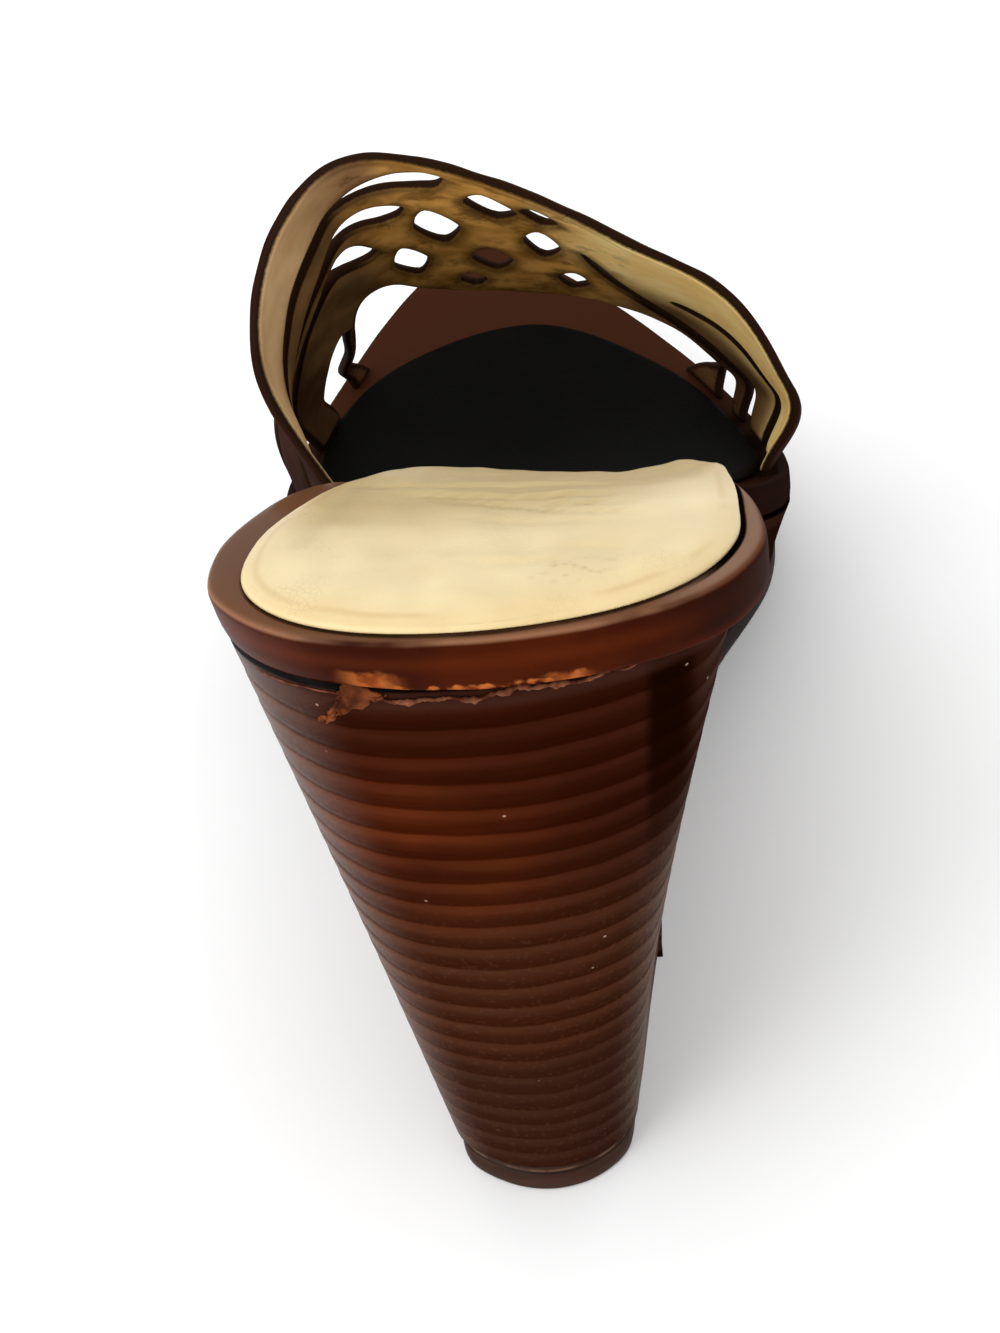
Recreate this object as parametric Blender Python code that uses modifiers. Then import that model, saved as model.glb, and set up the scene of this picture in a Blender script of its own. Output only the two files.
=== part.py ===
"""Wedge mule for the right foot, at rest on its heel and forefoot.

Sizes are millimetres. y runs forward from the back of the heel seat, x towards the outer side of the
foot and z up from the ground, until shifted() puts the origin under the middle of the shoe.
"""

import bmesh
import bpy
import numpy as np
from mathutils import Vector
from mathutils.geometry import delaunay_2d_cdt

METRE_PER_MM = 0.001
LENGTH = 230.0
MIDDLE_X = 1.7
JOIN_GAP = 0.3
RIM_HEIGHT = 6.8
RIM_ROUND = 2.0
SOLE_THICKNESS = 4.5
WAIST_LIFT = 1.2
WAIST_START, WAIST_RISE = 59.1, 12.0
WAIST_END, WAIST_FALL = 128.0, 18.0
LIFT_FRONT = 56.5
LIFT_INSET = 0.9
SOLE_BACK = 55.1
LAYER_HEIGHT = 4.04
LAYER_SHOULDER = 0.78
LAYER_DEPTH = 0.45
LEAST_LAYER = 0.9
INNER_CURVE = 0.94
OUTER_CURVE = 1.3
INNER_OVERHANG = 1.5
OUTER_OVERHANG = 3.0
SIDE_WIDTH = 20.0
HEEL_FRONT = 110.0
HEEL_FADE = 40.0
SOCK_THICKNESS = 1.6
SOCK_EDGE = 0.5
WALL = 1.6
HAUNCH_OUT = 1.3
HAUNCH_UP = 2.5
HAUNCH_FRONT = 170.0
HAUNCH_LENGTH = 40.0
STRAP_INSET = 2.2
INNER_INSET = 0.7
FLARE = 2.4
FLARE_LENGTH = 14.0
FLARE_FRONT = 36.0
FLARE_FADE = 20.0
KNOT_LENGTH = 26.0
WALL_CELL = 4.6
STATIONS = 34
TILT_WIDTH = 28.0

# Platform edge: distance forward, inner and outer half width, height of the top, fall to the outer side
RIM = np.array([
    # y, inner, outer, top, fall
    (0.0, 0.0, 0.0, 105.1, 0.0),
    (2.5, 17.0, 17.0, 104.9, 0.0),
    (7.0, 24.2, 24.2, 104.4, 0.0),
    (14.0, 29.2, 28.4, 103.3, 0.1),
    (24.0, 29.7, 29.2, 100.8, 0.5),
    (40.0, 25.8, 27.6, 94.6, 1.3),
    (60.0, 21.6, 24.4, 82.9, 1.8),
    (80.0, 22.0, 25.0, 67.5, 1.6),
    (100.0, 27.0, 30.8, 51.0, 0.9),
    (120.0, 34.4, 39.4, 36.5, 0.4),
    (140.0, 40.2, 44.6, 24.5, 0.0),
    (155.0, 42.3, 44.8, 18.8, 0.0),
    (170.0, 41.0, 41.2, 16.0, 0.0),
    (185.0, 37.2, 35.0, 15.8, 0.0),
    (200.0, 31.2, 26.2, 17.0, 0.0),
    (215.0, 23.2, 14.6, 19.4, 0.0),
    (225.0, 15.0, 3.8, 21.5, 0.0),
    (LENGTH, 5.5, -5.5, 22.6, 0.0),
])
# Outline on the ground: distance forward, inner and outer half width, height of the tread
GROUND = np.array([
    # y, inner, outer, tread
    (14.2, 2.0, -2.0, 0.0),
    (16.0, 8.8, 4.6, 0.0),
    (20.0, 13.7, 8.8, 0.0),
    (27.0, 15.3, 10.5, 0.0),
    (40.0, 15.5, 12.7, 0.0),
    (55.0, 15.7, 15.2, 0.0),
    (80.0, 17.2, 17.2, 0.0),
    (100.0, 20.6, 21.6, 0.0),
    (120.0, 28.4, 31.0, 0.0),
    (140.0, 36.8, 41.0, 0.0),
    (155.0, 40.1, 42.8, 0.0),
    (170.0, 39.0, 39.3, 0.0),
    (185.0, 35.3, 33.2, 0.0),
    (200.0, 29.3, 24.4, 1.3),
    (213.0, 22.0, 13.8, 3.6),
    (222.0, 13.8, 3.2, 5.6),
    (226.5, 5.5, -5.5, 6.6),
])
# Heel sock: distance forward, inner and outer half width
HEEL_SOCK = np.array([
    # y, inner, outer
    (0.9, 0.0, 0.0),
    (3.2, 14.6, 14.6),
    (7.0, 21.0, 21.0),
    (14.0, 25.0, 25.2),
    (24.0, 25.6, 26.4),
    (40.0, 22.0, 25.0),
    (60.0, 18.4, 21.2),
    (77.7, 18.2, 21.2),
])
# Forefoot sock: distance forward, inner and outer half width
FORE_SOCK = np.array([
    # y, inner, outer
    (78.1, 17.2, 20.2),
    (100.0, 22.0, 25.8),
    (120.0, 29.4, 34.2),
    (140.0, 35.2, 39.4),
    (155.0, 37.3, 39.4),
    (170.0, 36.0, 35.8),
    (183.0, 32.2, 29.4),
    (193.0, 25.0, 20.8),
    (200.0, 14.5, 12.5),
    (204.0, -1.0, 1.0),
])
# Depth of the footbed's hollow along the foot
HOLLOW = np.array([
    # y, depth
    (0.0, 0.0),
    (5.0, 0.1),
    (14.0, 0.9),
    (30.0, 1.7),
    (80.0, 1.2),
    (150.0, 0.8),
    (LENGTH, 0.3),
])
# Outer face of the upper: x and z of inner side, inner shoulder, ridge, outer shoulder, outer side
SECTIONS = np.array([
    # y, inner side, inner shoulder, ridge, outer shoulder, outer side
    (92.0, -32.8, 85.0, -28.5, 107.0, -17.0, 117.5, 12.0, 102.0, 34.5, 79.0),
    (112.0, -36.1, 69.0, -29.5, 94.5, -14.5, 105.2, 16.0, 89.0, 40.5, 62.0),
    (132.0, -38.4, 50.0, -29.0, 76.0, -11.0, 85.5, 20.0, 73.0, 44.6, 45.0),
    (152.0, -39.8, 37.0, -27.0, 57.5, -8.0, 64.5, 19.0, 56.5, 43.5, 34.0),
    (172.0, -36.2, 27.5, -23.0, 41.5, -5.0, 45.0, 15.0, 41.0, 37.5, 26.0),
    (200.0, -27.4, 24.0, -17.0, 32.5, -5.0, 35.5, 8.0, 32.5, 24.0, 24.0),
])
KNOTS = 7
# Rear edge of the upper: place across (-3 inner foot, 0 ridge, 3 outer foot) and distance forward
TOPLINE = np.array([
    # across, y
    (-3.0, 104.0),
    (-2.0, 107.5),
    (-1.0, 114.5),
    (0.0, 118.5),
    (1.0, 122.0),
    (2.0, 127.0),
    (3.0, 128.0),
])
# Front edge of the upper over the toes
FRONT = np.array([
    # across, y
    (-3.0, 197.0),
    (-2.5, 193.0),
    (-2.0, 187.0),
    (-1.6, 179.0),
    (-1.35, 172.0),
    (-1.2, 166.5),
    (-1.05, 160.5),
    (-0.9, 156.6),
    (-0.72, 155.2),
    (-0.52, 157.0),
    (-0.4, 160.2),
    (-0.2, 163.4),
    (0.1, 165.5),
    (0.5, 166.5),
    (1.0, 164.5),
    (1.3, 162.3),
    (1.5, 163.5),
    (1.7, 167.0),
    (2.4, 180.5),
    (3.0, 187.0),
])
# Slits between straps: rows of place across, distance forward, half width
SLITS = (
    ((0.26, 122.4, 0.4), (0.18, 124.2, 2.4), (0.08, 125.0, 2.4), (-0.1, 125.6, 1.8), (-0.3, 126.0, 1.2),
     (-0.6, 126.2, 0.7), (-1.0, 125.2, 0.6), (-1.5, 122.5, 0.6), (-2.0, 120.5, 0.8), (-2.5, 120.8, 1.3),
     (-3.1, 121.5, 1.8)),
    ((-0.1, 133.8, 0.4), (-0.18, 134.2, 1.9), (-0.3, 133.9, 2.5), (-0.45, 133.1, 2.1), (-0.7, 132.6, 1.4),
     (-1.0, 132.4, 0.9), (-1.5, 133.4, 0.9), (-2.0, 135.6, 1.1), (-2.5, 139.5, 1.8), (-3.1, 143.0, 2.6)),
    ((-0.47, 143.4, 0.4), (-0.56, 142.2, 2.4), (-0.66, 140.9, 3.1), (-0.78, 139.6, 2.8), (-0.93, 138.4, 2.1),
     (-1.1, 139.3, 1.4), (-1.4, 144.0, 1.2), (-2.0, 153.5, 1.7), (-2.5, 161.0, 3.2), (-3.1, 167.0, 4.6)),
    ((-1.2, 160.3, 0.4), (-1.28, 162.2, 1.7), (-1.42, 166.2, 3.8), (-1.6, 170.4, 4.6), (-2.0, 177.6, 4.8),
     (-2.5, 183.4, 4.4), (-3.1, 187.0, 4.4)),
    ((1.3, 148.0, 0.4), (1.42, 147.5, 0.9), (1.65, 146.5, 1.0), (2.0, 148.0, 1.1), (2.5, 149.5, 1.7),
     (3.1, 150.0, 2.4)),
    ((0.78, 142.0, 0.4), (0.85, 145.6, 1.4), (0.98, 150.4, 1.6), (1.25, 156.0, 1.1), (1.6, 160.3, 1.1),
     (2.0, 163.0, 1.2), (2.5, 164.0, 1.5), (3.1, 163.5, 2.0)),
    ((1.95, 170.6, 0.4), (2.1, 172.0, 1.6), (2.45, 173.3, 2.6), (3.1, 172.5, 2.6)),
)
# Diamond windows where the straps cross
WINDOWS = np.array([
    # across, y, half width across, half length
    (0.40, 131.0, 0.115, 4.6),
    (0.04, 140.5, 0.135, 5.4),
    (-0.28, 150.8, 0.13, 5.0),
    (0.585, 143.0, 0.085, 5.4),
    (0.28, 152.2, 0.115, 4.6),
    (0.08, 160.4, 0.09, 2.6),
    (0.76, 157.2, 0.09, 3.8),
    (0.62, 129.8, 0.08, 3.6),
])
WINDOW_SHAPE = 1.35


def smooth(at, values, where):
    """Value at each place of a smooth curve through the rows of a table."""
    step = np.diff(at)
    slope = np.diff(values) / step
    lean = np.concatenate([
        slope[:1],
        (slope[:-1] * step[1:] + slope[1:] * step[:-1]) / (step[1:] + step[:-1]),
        slope[-1:],
    ])
    i = np.clip(np.searchsorted(at, where, side="right") - 1, 0, len(at) - 2)
    t = (where - at[i]) / step[i]
    start = (1 + 2 * t) * (1 - t) ** 2 * values[i] + t * (1 - t) ** 2 * step[i] * lean[i]
    end = t * t * (3 - 2 * t) * values[i + 1] + t * t * (t - 1) * step[i] * lean[i + 1]
    return start + end


def eased(t):
    """Smooth step from 0 to 1."""
    t = np.clip(t, 0, 1)
    return t * t * (3 - 2 * t)


def turned(y, back, front):
    """Distance forward as a share of half a turn, so that both ends of an outline close round."""
    return np.arccos(np.clip(1 - 2 * (y - back) / (front - back), -1, 1)) / np.pi


def half_width(table, column, y):
    """Half width of an outline at a distance forward. An end whose two sides meet closes round."""
    back, front = table[0, 0], table[-1, 0]
    if abs(table[0, 1] + table[0, 2]) > 1e-6:
        back = 2 * back - front
    if abs(table[-1, 1] + table[-1, 2]) > 1e-6:
        front = 2 * front - back
    return smooth(turned(table[:, 0], back, front), table[:, column], turned(y, back, front))


def rim_top(x, y):
    """Height of the platform's edge."""
    fall = smooth(RIM[:, 0], RIM[:, 4], y)
    return smooth(RIM[:, 0], RIM[:, 3], y) - fall * x / TILT_WIDTH


def footbed(x, y):
    """Height of the hollowed footbed under the socks."""
    inner = half_width(RIM, 1, y) - RIM_ROUND
    outer = half_width(RIM, 2, y) - RIM_ROUND
    middle = (outer - inner) / 2
    reach = np.maximum((outer + inner) / 2, 1.0)
    share = np.clip((x - middle) / reach, -1, 1)
    return rim_top(x, y) - smooth(HOLLOW[:, 0], HOLLOW[:, 1], y) * (1 - share ** 2)


def toe_spring(y):
    """Rise of the sole towards the toe, flat under heel and ball."""
    return np.maximum(smooth(GROUND[:, 0], GROUND[:, 3], y), 0.0)


def tread(y):
    """Height of the tread, raised a little in the waist between heel and forefoot."""
    waist = eased((y - WAIST_START) / WAIST_RISE) * eased((WAIST_END - y) / WAIST_FALL)
    return toe_spring(y) + WAIST_LIFT * waist


def outline(table, y, across=1):
    """Points round an outline: forward on the inner side, over the front, back on the outer side."""
    inner = np.stack([-half_width(table, 1, y), y], -1)
    outer = np.stack([half_width(table, 2, y), y], -1)
    share = np.arange(1, across)[:, None] / across
    over_front = inner[-1] + (outer[-1] - inner[-1]) * share
    over_back = outer[0] + (inner[0] - outer[0]) * share
    return np.concatenate([inner, over_front, outer[::-1], over_back])


def inset(loop, distance):
    """The outline moved inwards in plan. distance may differ from point to point."""
    new = np.linalg.norm(loop - np.roll(loop, 1, 0), axis=1) > 1e-6
    single = loop[new]
    along = np.roll(single, -1, 0) - np.roll(single, 1, 0)
    along /= np.linalg.norm(along, axis=1, keepdims=True)
    inwards = np.stack([along[:, 1], -along[:, 0]], -1)
    which = (np.cumsum(new) - 1) % len(single)
    return loop + inwards[which] * np.broadcast_to(distance, len(loop))[:, None]


def stations(back, front, count, from_end=True, to_end=True):
    """Distances forward, closer together towards the ends that close round."""
    t = np.linspace(0.0 if from_end else 0.5, 1.0 if to_end else 0.5, count)
    share = (1 - np.cos(np.pi * t)) / 2
    share = (share - share[0]) / (share[-1] - share[0])
    return back + (front - back) * share


def shifted(points):
    """Millimetres from the back of the seat to metres from under the middle of the shoe."""
    return (np.asarray(points) - (MIDDLE_X, LENGTH / 2, 0.0)) * METRE_PER_MM


def material(name, colour, roughness):
    made = bpy.data.materials.new(name)
    made.use_nodes = True
    shader = made.node_tree.nodes["Principled BSDF"]
    shader.inputs["Base Color"].default_value = (*colour, 1.0)
    shader.inputs["Roughness"].default_value = roughness
    return made


def piece(name, points, faces, look, smooth_angle=40.0):
    """One closed or open body under the shoe's empty, points in millimetres."""
    mesh = bpy.data.meshes.new(name)
    mesh.from_pydata(shifted(points).tolist(), [], faces)
    work = bmesh.new()
    work.from_mesh(mesh)
    bmesh.ops.remove_doubles(work, verts=work.verts, dist=2e-5)
    bmesh.ops.dissolve_degenerate(work, edges=work.edges, dist=1e-6)
    bmesh.ops.recalc_face_normals(work, faces=work.faces)
    work.to_mesh(mesh)
    work.free()
    mesh.shade_smooth()
    mesh.set_sharp_from_angle(angle=np.radians(smooth_angle))
    mesh.materials.append(look)
    made = bpy.data.objects.new(name, mesh)
    shoe.objects.link(made)
    made.parent = holder
    return made


def loft(rows, across=1, crown=None, keel=None):
    """Points and faces of a body whose sides run through rows of outlines, lowest first.

    Rungs across close the body below and above. crown and keel give the height of the points on the
    rungs, which are straight without them.
    """
    count, columns = rows.shape[:2]
    half = columns // 2 - across + 1
    ring = np.arange(columns)
    grid = np.empty((half, across + 1), int)
    grid[:, 0] = ring[:half]
    grid[:, -1] = 2 * half + across - 2 - ring[:half]
    grid[-1, 1:-1] = half + ring[:across - 1]
    grid[0, 1:-1] = columns - 1 - ring[:across - 1]
    points = [rows.reshape(-1, 3)]
    first = ring[None] + np.arange(count - 1)[:, None] * columns
    after = np.roll(first, -1, 1)
    faces = [np.stack([first, after, after + columns, first + columns], -1).reshape(-1, 4)]
    total = count * columns
    share = np.arange(1, across)[None, :, None] / across
    for row, height in ((0, keel), (count - 1, crown)):
        rungs = grid + row * columns
        inner = rows[row, grid[1:-1, 0]][:, None]
        outer = rows[row, grid[1:-1, -1]][:, None]
        between = inner + (outer - inner) * share
        if height:
            between[..., 2] = height(between[..., 0], between[..., 1])
        rungs[1:-1, 1:-1] = total + np.arange(between.shape[0] * between.shape[1]).reshape(between.shape[:2])
        total += between.shape[0] * between.shape[1]
        points.append(between.reshape(-1, 3))
        quads = np.stack([rungs[:-1, :-1], rungs[1:, :-1], rungs[1:, 1:], rungs[:-1, 1:]], -1).reshape(-1, 4)
        faces.append(quads[:, ::-1] if row == 0 else quads)
    return np.concatenate(points), np.concatenate(faces).tolist()


def level(loop, height):
    return np.concatenate([loop, np.broadcast_to(height, len(loop))[:, None]], 1)


def wedge():
    """Ruled sides from the outline on the ground to the platform, in stacked layers with a lip each."""
    rim = outline(RIM, stations(0.0, LENGTH, STATIONS))
    low = outline(GROUND, stations(GROUND[0, 0], GROUND[-1, 0], STATIONS))
    outwards = np.clip(rim[:, 0] / SIDE_WIDTH, 0, 1)
    under_heel = np.clip((HEEL_FRONT - rim[:, 1]) / HEEL_FADE, 0, 1)
    high = inset(rim, (INNER_OVERHANG + (OUTER_OVERHANG - INNER_OVERHANG) * outwards) * under_heel)
    side = np.where(rim[:, 1] < LENGTH / 2, eased(rim[:, 0] / SIDE_WIDTH + 0.5), np.arange(len(rim)) >= STATIONS)
    curve = INNER_CURVE + (OUTER_CURVE - INNER_CURVE) * side
    high_z = rim_top(high[:, 0], high[:, 1]) - RIM_HEIGHT - JOIN_GAP
    low_z = toe_spring(low[:, 1]) + SOLE_THICKNESS + JOIN_GAP
    layers = int((high_z.max() - low_z.min()) / LAYER_HEIGHT) + 1
    rows = [level(low, low_z)]
    for layer in range(layers):
        for part, depth in ((0.0, LAYER_DEPTH), (LAYER_SHOULDER, 0.0)):
            z = low_z.min() + (layer + part) * LAYER_HEIGHT
            if z <= low_z.min():
                continue
            inside = (z > low_z + LEAST_LAYER) & (z < high_z - LEAST_LAYER)
            here = np.where(inside, z, np.where(z <= low_z + LEAST_LAYER, low_z, high_z))
            h = (here - low_z) / (high_z - low_z)
            plan = low + (high - low) * np.stack([h ** curve, h], -1)
            rows.append(level(inset(plan, np.where(inside, depth, 0.0)), here))
    rows.append(level(high, high_z))
    return loft(np.array(rows))


def platform():
    """Footbed board in wrapped leather: rounded upper edge, hollowed top."""
    edge = outline(RIM, stations(0.0, LENGTH, STATIONS), across=6)
    profile = ((RIM_HEIGHT, 0.3), (RIM_HEIGHT - 0.5, 0.0), (1.8, 0.0), (0.5, 0.5), (0.0, RIM_ROUND))
    rows = []
    for down, inwards in profile:
        loop = inset(edge, inwards)
        rows.append(level(loop, rim_top(loop[:, 0], loop[:, 1]) - down))
    return loft(np.array(rows), 6, footbed)


def sock(edge, across):
    """A thin pad on the footbed with a softened upper edge."""
    bottom = level(edge, footbed(edge[:, 0], edge[:, 1]) + JOIN_GAP)
    shoulder = bottom + (0.0, 0.0, SOCK_THICKNESS - SOCK_EDGE)
    inner = inset(edge, SOCK_EDGE)
    crest = level(inner, footbed(inner[:, 0], inner[:, 1]) + JOIN_GAP + SOCK_THICKNESS)
    return loft(np.array([bottom, shoulder, crest]), across,
                lambda x, y: footbed(x, y) + JOIN_GAP + SOCK_THICKNESS,
                lambda x, y: footbed(x, y) + JOIN_GAP)


def heel_sock():
    y = stations(HEEL_SOCK[0, 0], HEEL_SOCK[-1, 0], 22, True, False)
    return sock(outline(HEEL_SOCK, y, 8), 8)


def forefoot_sock():
    y = stations(FORE_SOCK[0, 0], FORE_SOCK[-1, 0], 22, False, True)
    return sock(outline(FORE_SOCK, y, 6), 6)


def under_sole(y, thickness_top, narrower=0.0):
    """A flat sheet under the wedge with a softened lower edge."""
    edge = inset(outline(GROUND, y), narrower) - (0.0, narrower)
    low = inset(edge, 0.6)
    foot = tread(low[:, 1])
    rows = [level(low, foot), level(edge, foot + 0.6), level(edge, thickness_top(edge[:, 1]))]
    return loft(np.array(rows))


def heel_lift():
    y = stations(GROUND[0, 0], LIFT_FRONT, 14, True, False)
    return under_sole(y, lambda at: np.full_like(at, SOLE_THICKNESS), LIFT_INSET)


def outsole():
    y = stations(SOLE_BACK, GROUND[-1, 0], 30, False, True)
    return under_sole(y, lambda at: toe_spring(at) + SOLE_THICKNESS)


def upper_face(across, y):
    """Outer face of the upper: a smooth section through seven knots, carried along the foot."""
    behind = y - smooth(TOPLINE[:, 0], TOPLINE[:, 1], across)
    inner = -(half_width(RIM, 1, y) - STRAP_INSET - INNER_INSET * eased(behind / FLARE_LENGTH))
    outer = half_width(RIM, 2, y) - STRAP_INSET
    column = [smooth(SECTIONS[:, 0], SECTIONS[:, k], y) for k in range(1, SECTIONS.shape[1])]
    x = np.stack([inner, *column[0::2], outer])
    z = np.stack([rim_top(inner, y) + JOIN_GAP, *column[1::2], rim_top(outer, y) + JOIN_GAP])
    i = np.clip(np.floor(across).astype(int) + KNOTS // 2, 0, KNOTS - 2)
    t = across + KNOTS // 2 - i
    place = np.arange(len(y))

    def through(knots):
        start, end = knots[i, place], knots[i + 1, place]
        before = knots[np.maximum(i - 1, 0), place]
        after = knots[np.minimum(i + 2, KNOTS - 1), place]
        lean_in = np.where(i > 0, (end - before) / 2, end - start)
        lean_out = np.where(i < KNOTS - 2, (after - start) / 2, end - start)
        return ((1 + 2 * t) * (1 - t) ** 2 * start + t * (1 - t) ** 2 * lean_in
                + t * t * (3 - 2 * t) * end + t * t * (t - 1) * lean_out)

    haunch = np.where((across > 1) & (across < 2), np.sin(np.pi * across) ** 2, 0.0)
    haunch = haunch * np.clip((HAUNCH_FRONT - y) / HAUNCH_LENGTH, 0, 1)
    flare = eased(behind / FLARE_LENGTH) * eased((FLARE_FRONT - behind) / FLARE_FADE)
    flare = flare * eased(-across / 0.7 - 0.7) * eased((across + 3) / 0.7)
    return np.stack([through(x) + HAUNCH_OUT * haunch + FLARE * flare, y, through(z) + HAUNCH_UP * haunch], -1)


def slit_outline(rows):
    """Closed outline of a slit from its centre line and half widths."""
    table = np.array(rows)
    t = np.linspace(0, 1, 2 * len(table) - 1) * (len(table) - 1)
    at = np.arange(len(table), dtype=float)
    across, y, half = (smooth(at, table[:, k], t) for k in range(3))
    there = np.stack([across, y - half], -1)
    back = np.stack([across, y + half], -1)
    return np.concatenate([there, back[::-1]])


def window_outline(across, y, wide, long):
    """Closed outline of a diamond window with softened corners."""
    turn = np.linspace(0, 2 * np.pi, 12, endpoint=False)
    c, s = np.cos(turn), np.sin(turn)
    size = (np.abs(c) ** WINDOW_SHAPE + np.abs(s) ** WINDOW_SHAPE) ** (-1 / WINDOW_SHAPE)
    return np.stack([across + wide * size * c, y + long * size * s], -1)


def inside(loop, points):
    """Which points lie inside a closed outline."""
    ax, ay = loop[:, 0], loop[:, 1]
    bx, by = np.roll(ax, -1), np.roll(ay, -1)
    px, py = points[:, :1], points[:, 1:]
    crossing = (ay > py) != (by > py)
    rise = np.where(by == ay, 1.0, by - ay)
    return (crossing & (px < (bx - ax) * (py - ay) / rise + ax)).sum(1) % 2 == 1


def far_from(loop, points, distance):
    """Which points keep a distance from every side of a closed outline."""
    start, side = loop, np.roll(loop, -1, 0) - loop
    offset = points[:, None] - start
    t = np.clip((offset * side).sum(-1) / np.maximum((side ** 2).sum(-1), 1e-9), 0, 1)
    return np.linalg.norm(offset - t[..., None] * side, axis=-1).min(1) > distance


def strap_wall():
    """Open surface of the upper with its slits and windows cut, laid out flat and bent over the foot."""
    scale = np.array([KNOT_LENGTH, 1.0])
    spread = np.linspace(-3, 3, 61)
    rear = np.stack([spread, smooth(TOPLINE[:, 0], TOPLINE[:, 1], spread)], -1)
    front = np.stack([spread, smooth(FRONT[:, 0], FRONT[:, 1], spread)], -1)
    steps = np.linspace(0, 1, 15)[1:-1, None]
    outer_foot = rear[-1] + (front[-1] - rear[-1]) * steps
    inner_foot = front[0] + (rear[0] - front[0]) * steps
    border = np.concatenate([rear, outer_foot, front[::-1], inner_foot]) * scale
    holes = [slit_outline(rows) * scale for rows in SLITS] + [window_outline(*row) * scale for row in WINDOWS]
    flat = [border, *holes]
    grid = np.stack(np.meshgrid(np.arange(-3, 3, WALL_CELL / KNOT_LENGTH) * KNOT_LENGTH,
                                np.arange(100, 200, WALL_CELL)), -1).reshape(-1, 2)
    keep = inside(border, grid)
    for loop in flat:
        keep &= far_from(loop, grid, WALL_CELL * 0.45)
    for loop in holes:
        keep &= ~inside(loop, grid)
    flat.append(grid[keep])
    edges = []
    start = 0
    for loop in flat[:-1]:
        edges += [(start + i, start + (i + 1) % len(loop)) for i in range(len(loop))]
        start += len(loop)
    verts = [Vector(p) for p in np.concatenate(flat).tolist()]
    spots, _, faces, *_ = delaunay_2d_cdt(verts, edges, [], 0, 1e-4)
    spots = np.array([tuple(spot) for spot in spots])
    faces = np.array([tuple(face) for face in faces])
    centre = spots[faces].mean(1)
    solid = inside(border, centre)
    for loop in holes:
        solid &= ~inside(loop, centre)
    faces = faces[solid]
    used, renumbered = np.unique(faces, return_inverse=True)
    place = spots[used] / scale
    return upper_face(place[:, 0], place[:, 1]), renumbered.reshape(-1, 3).tolist()


def strap_upper(look):
    made = piece("strap_upper", *strap_wall(), look)
    shell = made.modifiers.new("wall", "SOLIDIFY")
    shell.thickness = WALL * METRE_PER_MM
    shell.offset = -1.0
    up = sum((face.normal.z for face in made.data.polygons), 0.0)
    if up < 0:
        made.data.flip_normals()
    return made


for old in list(bpy.data.objects):
    bpy.data.objects.remove(old)
shoe = bpy.data.collections.new("wedge_mule")
bpy.context.scene.collection.children.link(shoe)
holder = bpy.data.objects.new("wedge_mule", None)
shoe.objects.link(holder)

brown = (0.075, 0.022, 0.012)
piece("heel_lift", *heel_lift(), material("lift_rubber", (0.02, 0.012, 0.01), 0.5))
piece("outsole", *outsole(), material("sole_leather", (0.015, 0.012, 0.011), 0.5))
piece("wedge", *wedge(), material("stacked_leather", brown, 0.3), 20.0)
piece("platform", *platform(), material("wrapped_leather", brown, 0.35))
piece("heel_sock", *heel_sock(), material("gold_leather", (0.75, 0.6, 0.32), 0.4))
piece("forefoot_sock", *forefoot_sock(), material("black_leather", (0.01, 0.01, 0.009), 0.6))
strap_upper(material("strap_leather", brown, 0.4))
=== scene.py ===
"""Looks of the wedge mule over its frame: leather, pad, sock, cut straps, floor, light and camera.

Sizes are millimetres. y runs forward from the back of the heel seat, x towards the outer side of the
foot and z up from the ground, until piece() puts the origin under the middle of the shoe.
"""

import bmesh
import bpy
import numpy as np
from mathutils import Matrix, Vector
from mathutils.geometry import delaunay_2d_cdt

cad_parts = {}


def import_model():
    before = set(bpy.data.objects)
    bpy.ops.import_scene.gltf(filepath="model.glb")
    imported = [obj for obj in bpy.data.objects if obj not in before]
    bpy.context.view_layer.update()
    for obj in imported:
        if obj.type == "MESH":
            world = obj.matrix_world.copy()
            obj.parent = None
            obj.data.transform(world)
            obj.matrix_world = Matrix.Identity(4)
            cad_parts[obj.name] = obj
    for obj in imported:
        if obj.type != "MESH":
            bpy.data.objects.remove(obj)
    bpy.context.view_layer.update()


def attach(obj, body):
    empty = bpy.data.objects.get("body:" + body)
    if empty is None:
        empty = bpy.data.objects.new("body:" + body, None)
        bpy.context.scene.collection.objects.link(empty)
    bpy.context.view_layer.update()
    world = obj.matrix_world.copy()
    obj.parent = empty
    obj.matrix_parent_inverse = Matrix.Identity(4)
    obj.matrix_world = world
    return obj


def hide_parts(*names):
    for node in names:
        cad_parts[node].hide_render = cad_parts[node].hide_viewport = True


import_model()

METRE_PER_MM = 0.001
LENGTH = 230.0
MIDDLE = (1.7, LENGTH / 2, 0.0)
JOIN_GAP = 0.3
# Platform: height of its side, width and bend of its upper edge, lean of the inner side, unevenness
RIM_HEIGHT = 6.8
RIM_ROUND = 2.0
RIM_BEND = 1.4
RIM_LEAN = 1.3
RIM_WAVE = 0.14
TILT_WIDTH = 28.0
# Outsole and heel lift
SOLE_THICKNESS = 4.5
SOLE_EDGE = 0.6
WAIST_LIFT = 1.2
WAIST_START, WAIST_RISE = 59.1, 12.0
WAIST_END, WAIST_FALL = 128.0, 18.0
LIFT_FRONT = 56.5
LIFT_INSET = 0.9
SOLE_BACK = 55.1
# Wedge: layers, their unevenness and where wear flattens them, curve of the sides, step in under the rim
LOW_LAYER = 3.45
HIGH_LAYER = 4.5
LAYERS = 23
LAYER_WAVE = 0.2
WORN_BELOW, WORN_FADE = 12.0, 30.0
INNER_CURVE = 0.94
OUTER_CURVE = 1.3
INNER_OVERHANG = 1.5
OUTER_OVERHANG = 3.0
SIDE_WIDTH = 20.0
HEEL_FRONT = 110.0
HEEL_FADE = 40.0
BACK_LOW, BACK_HIGH = 86.0, 99.0
BACK_DEPTH = 24.0
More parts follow.
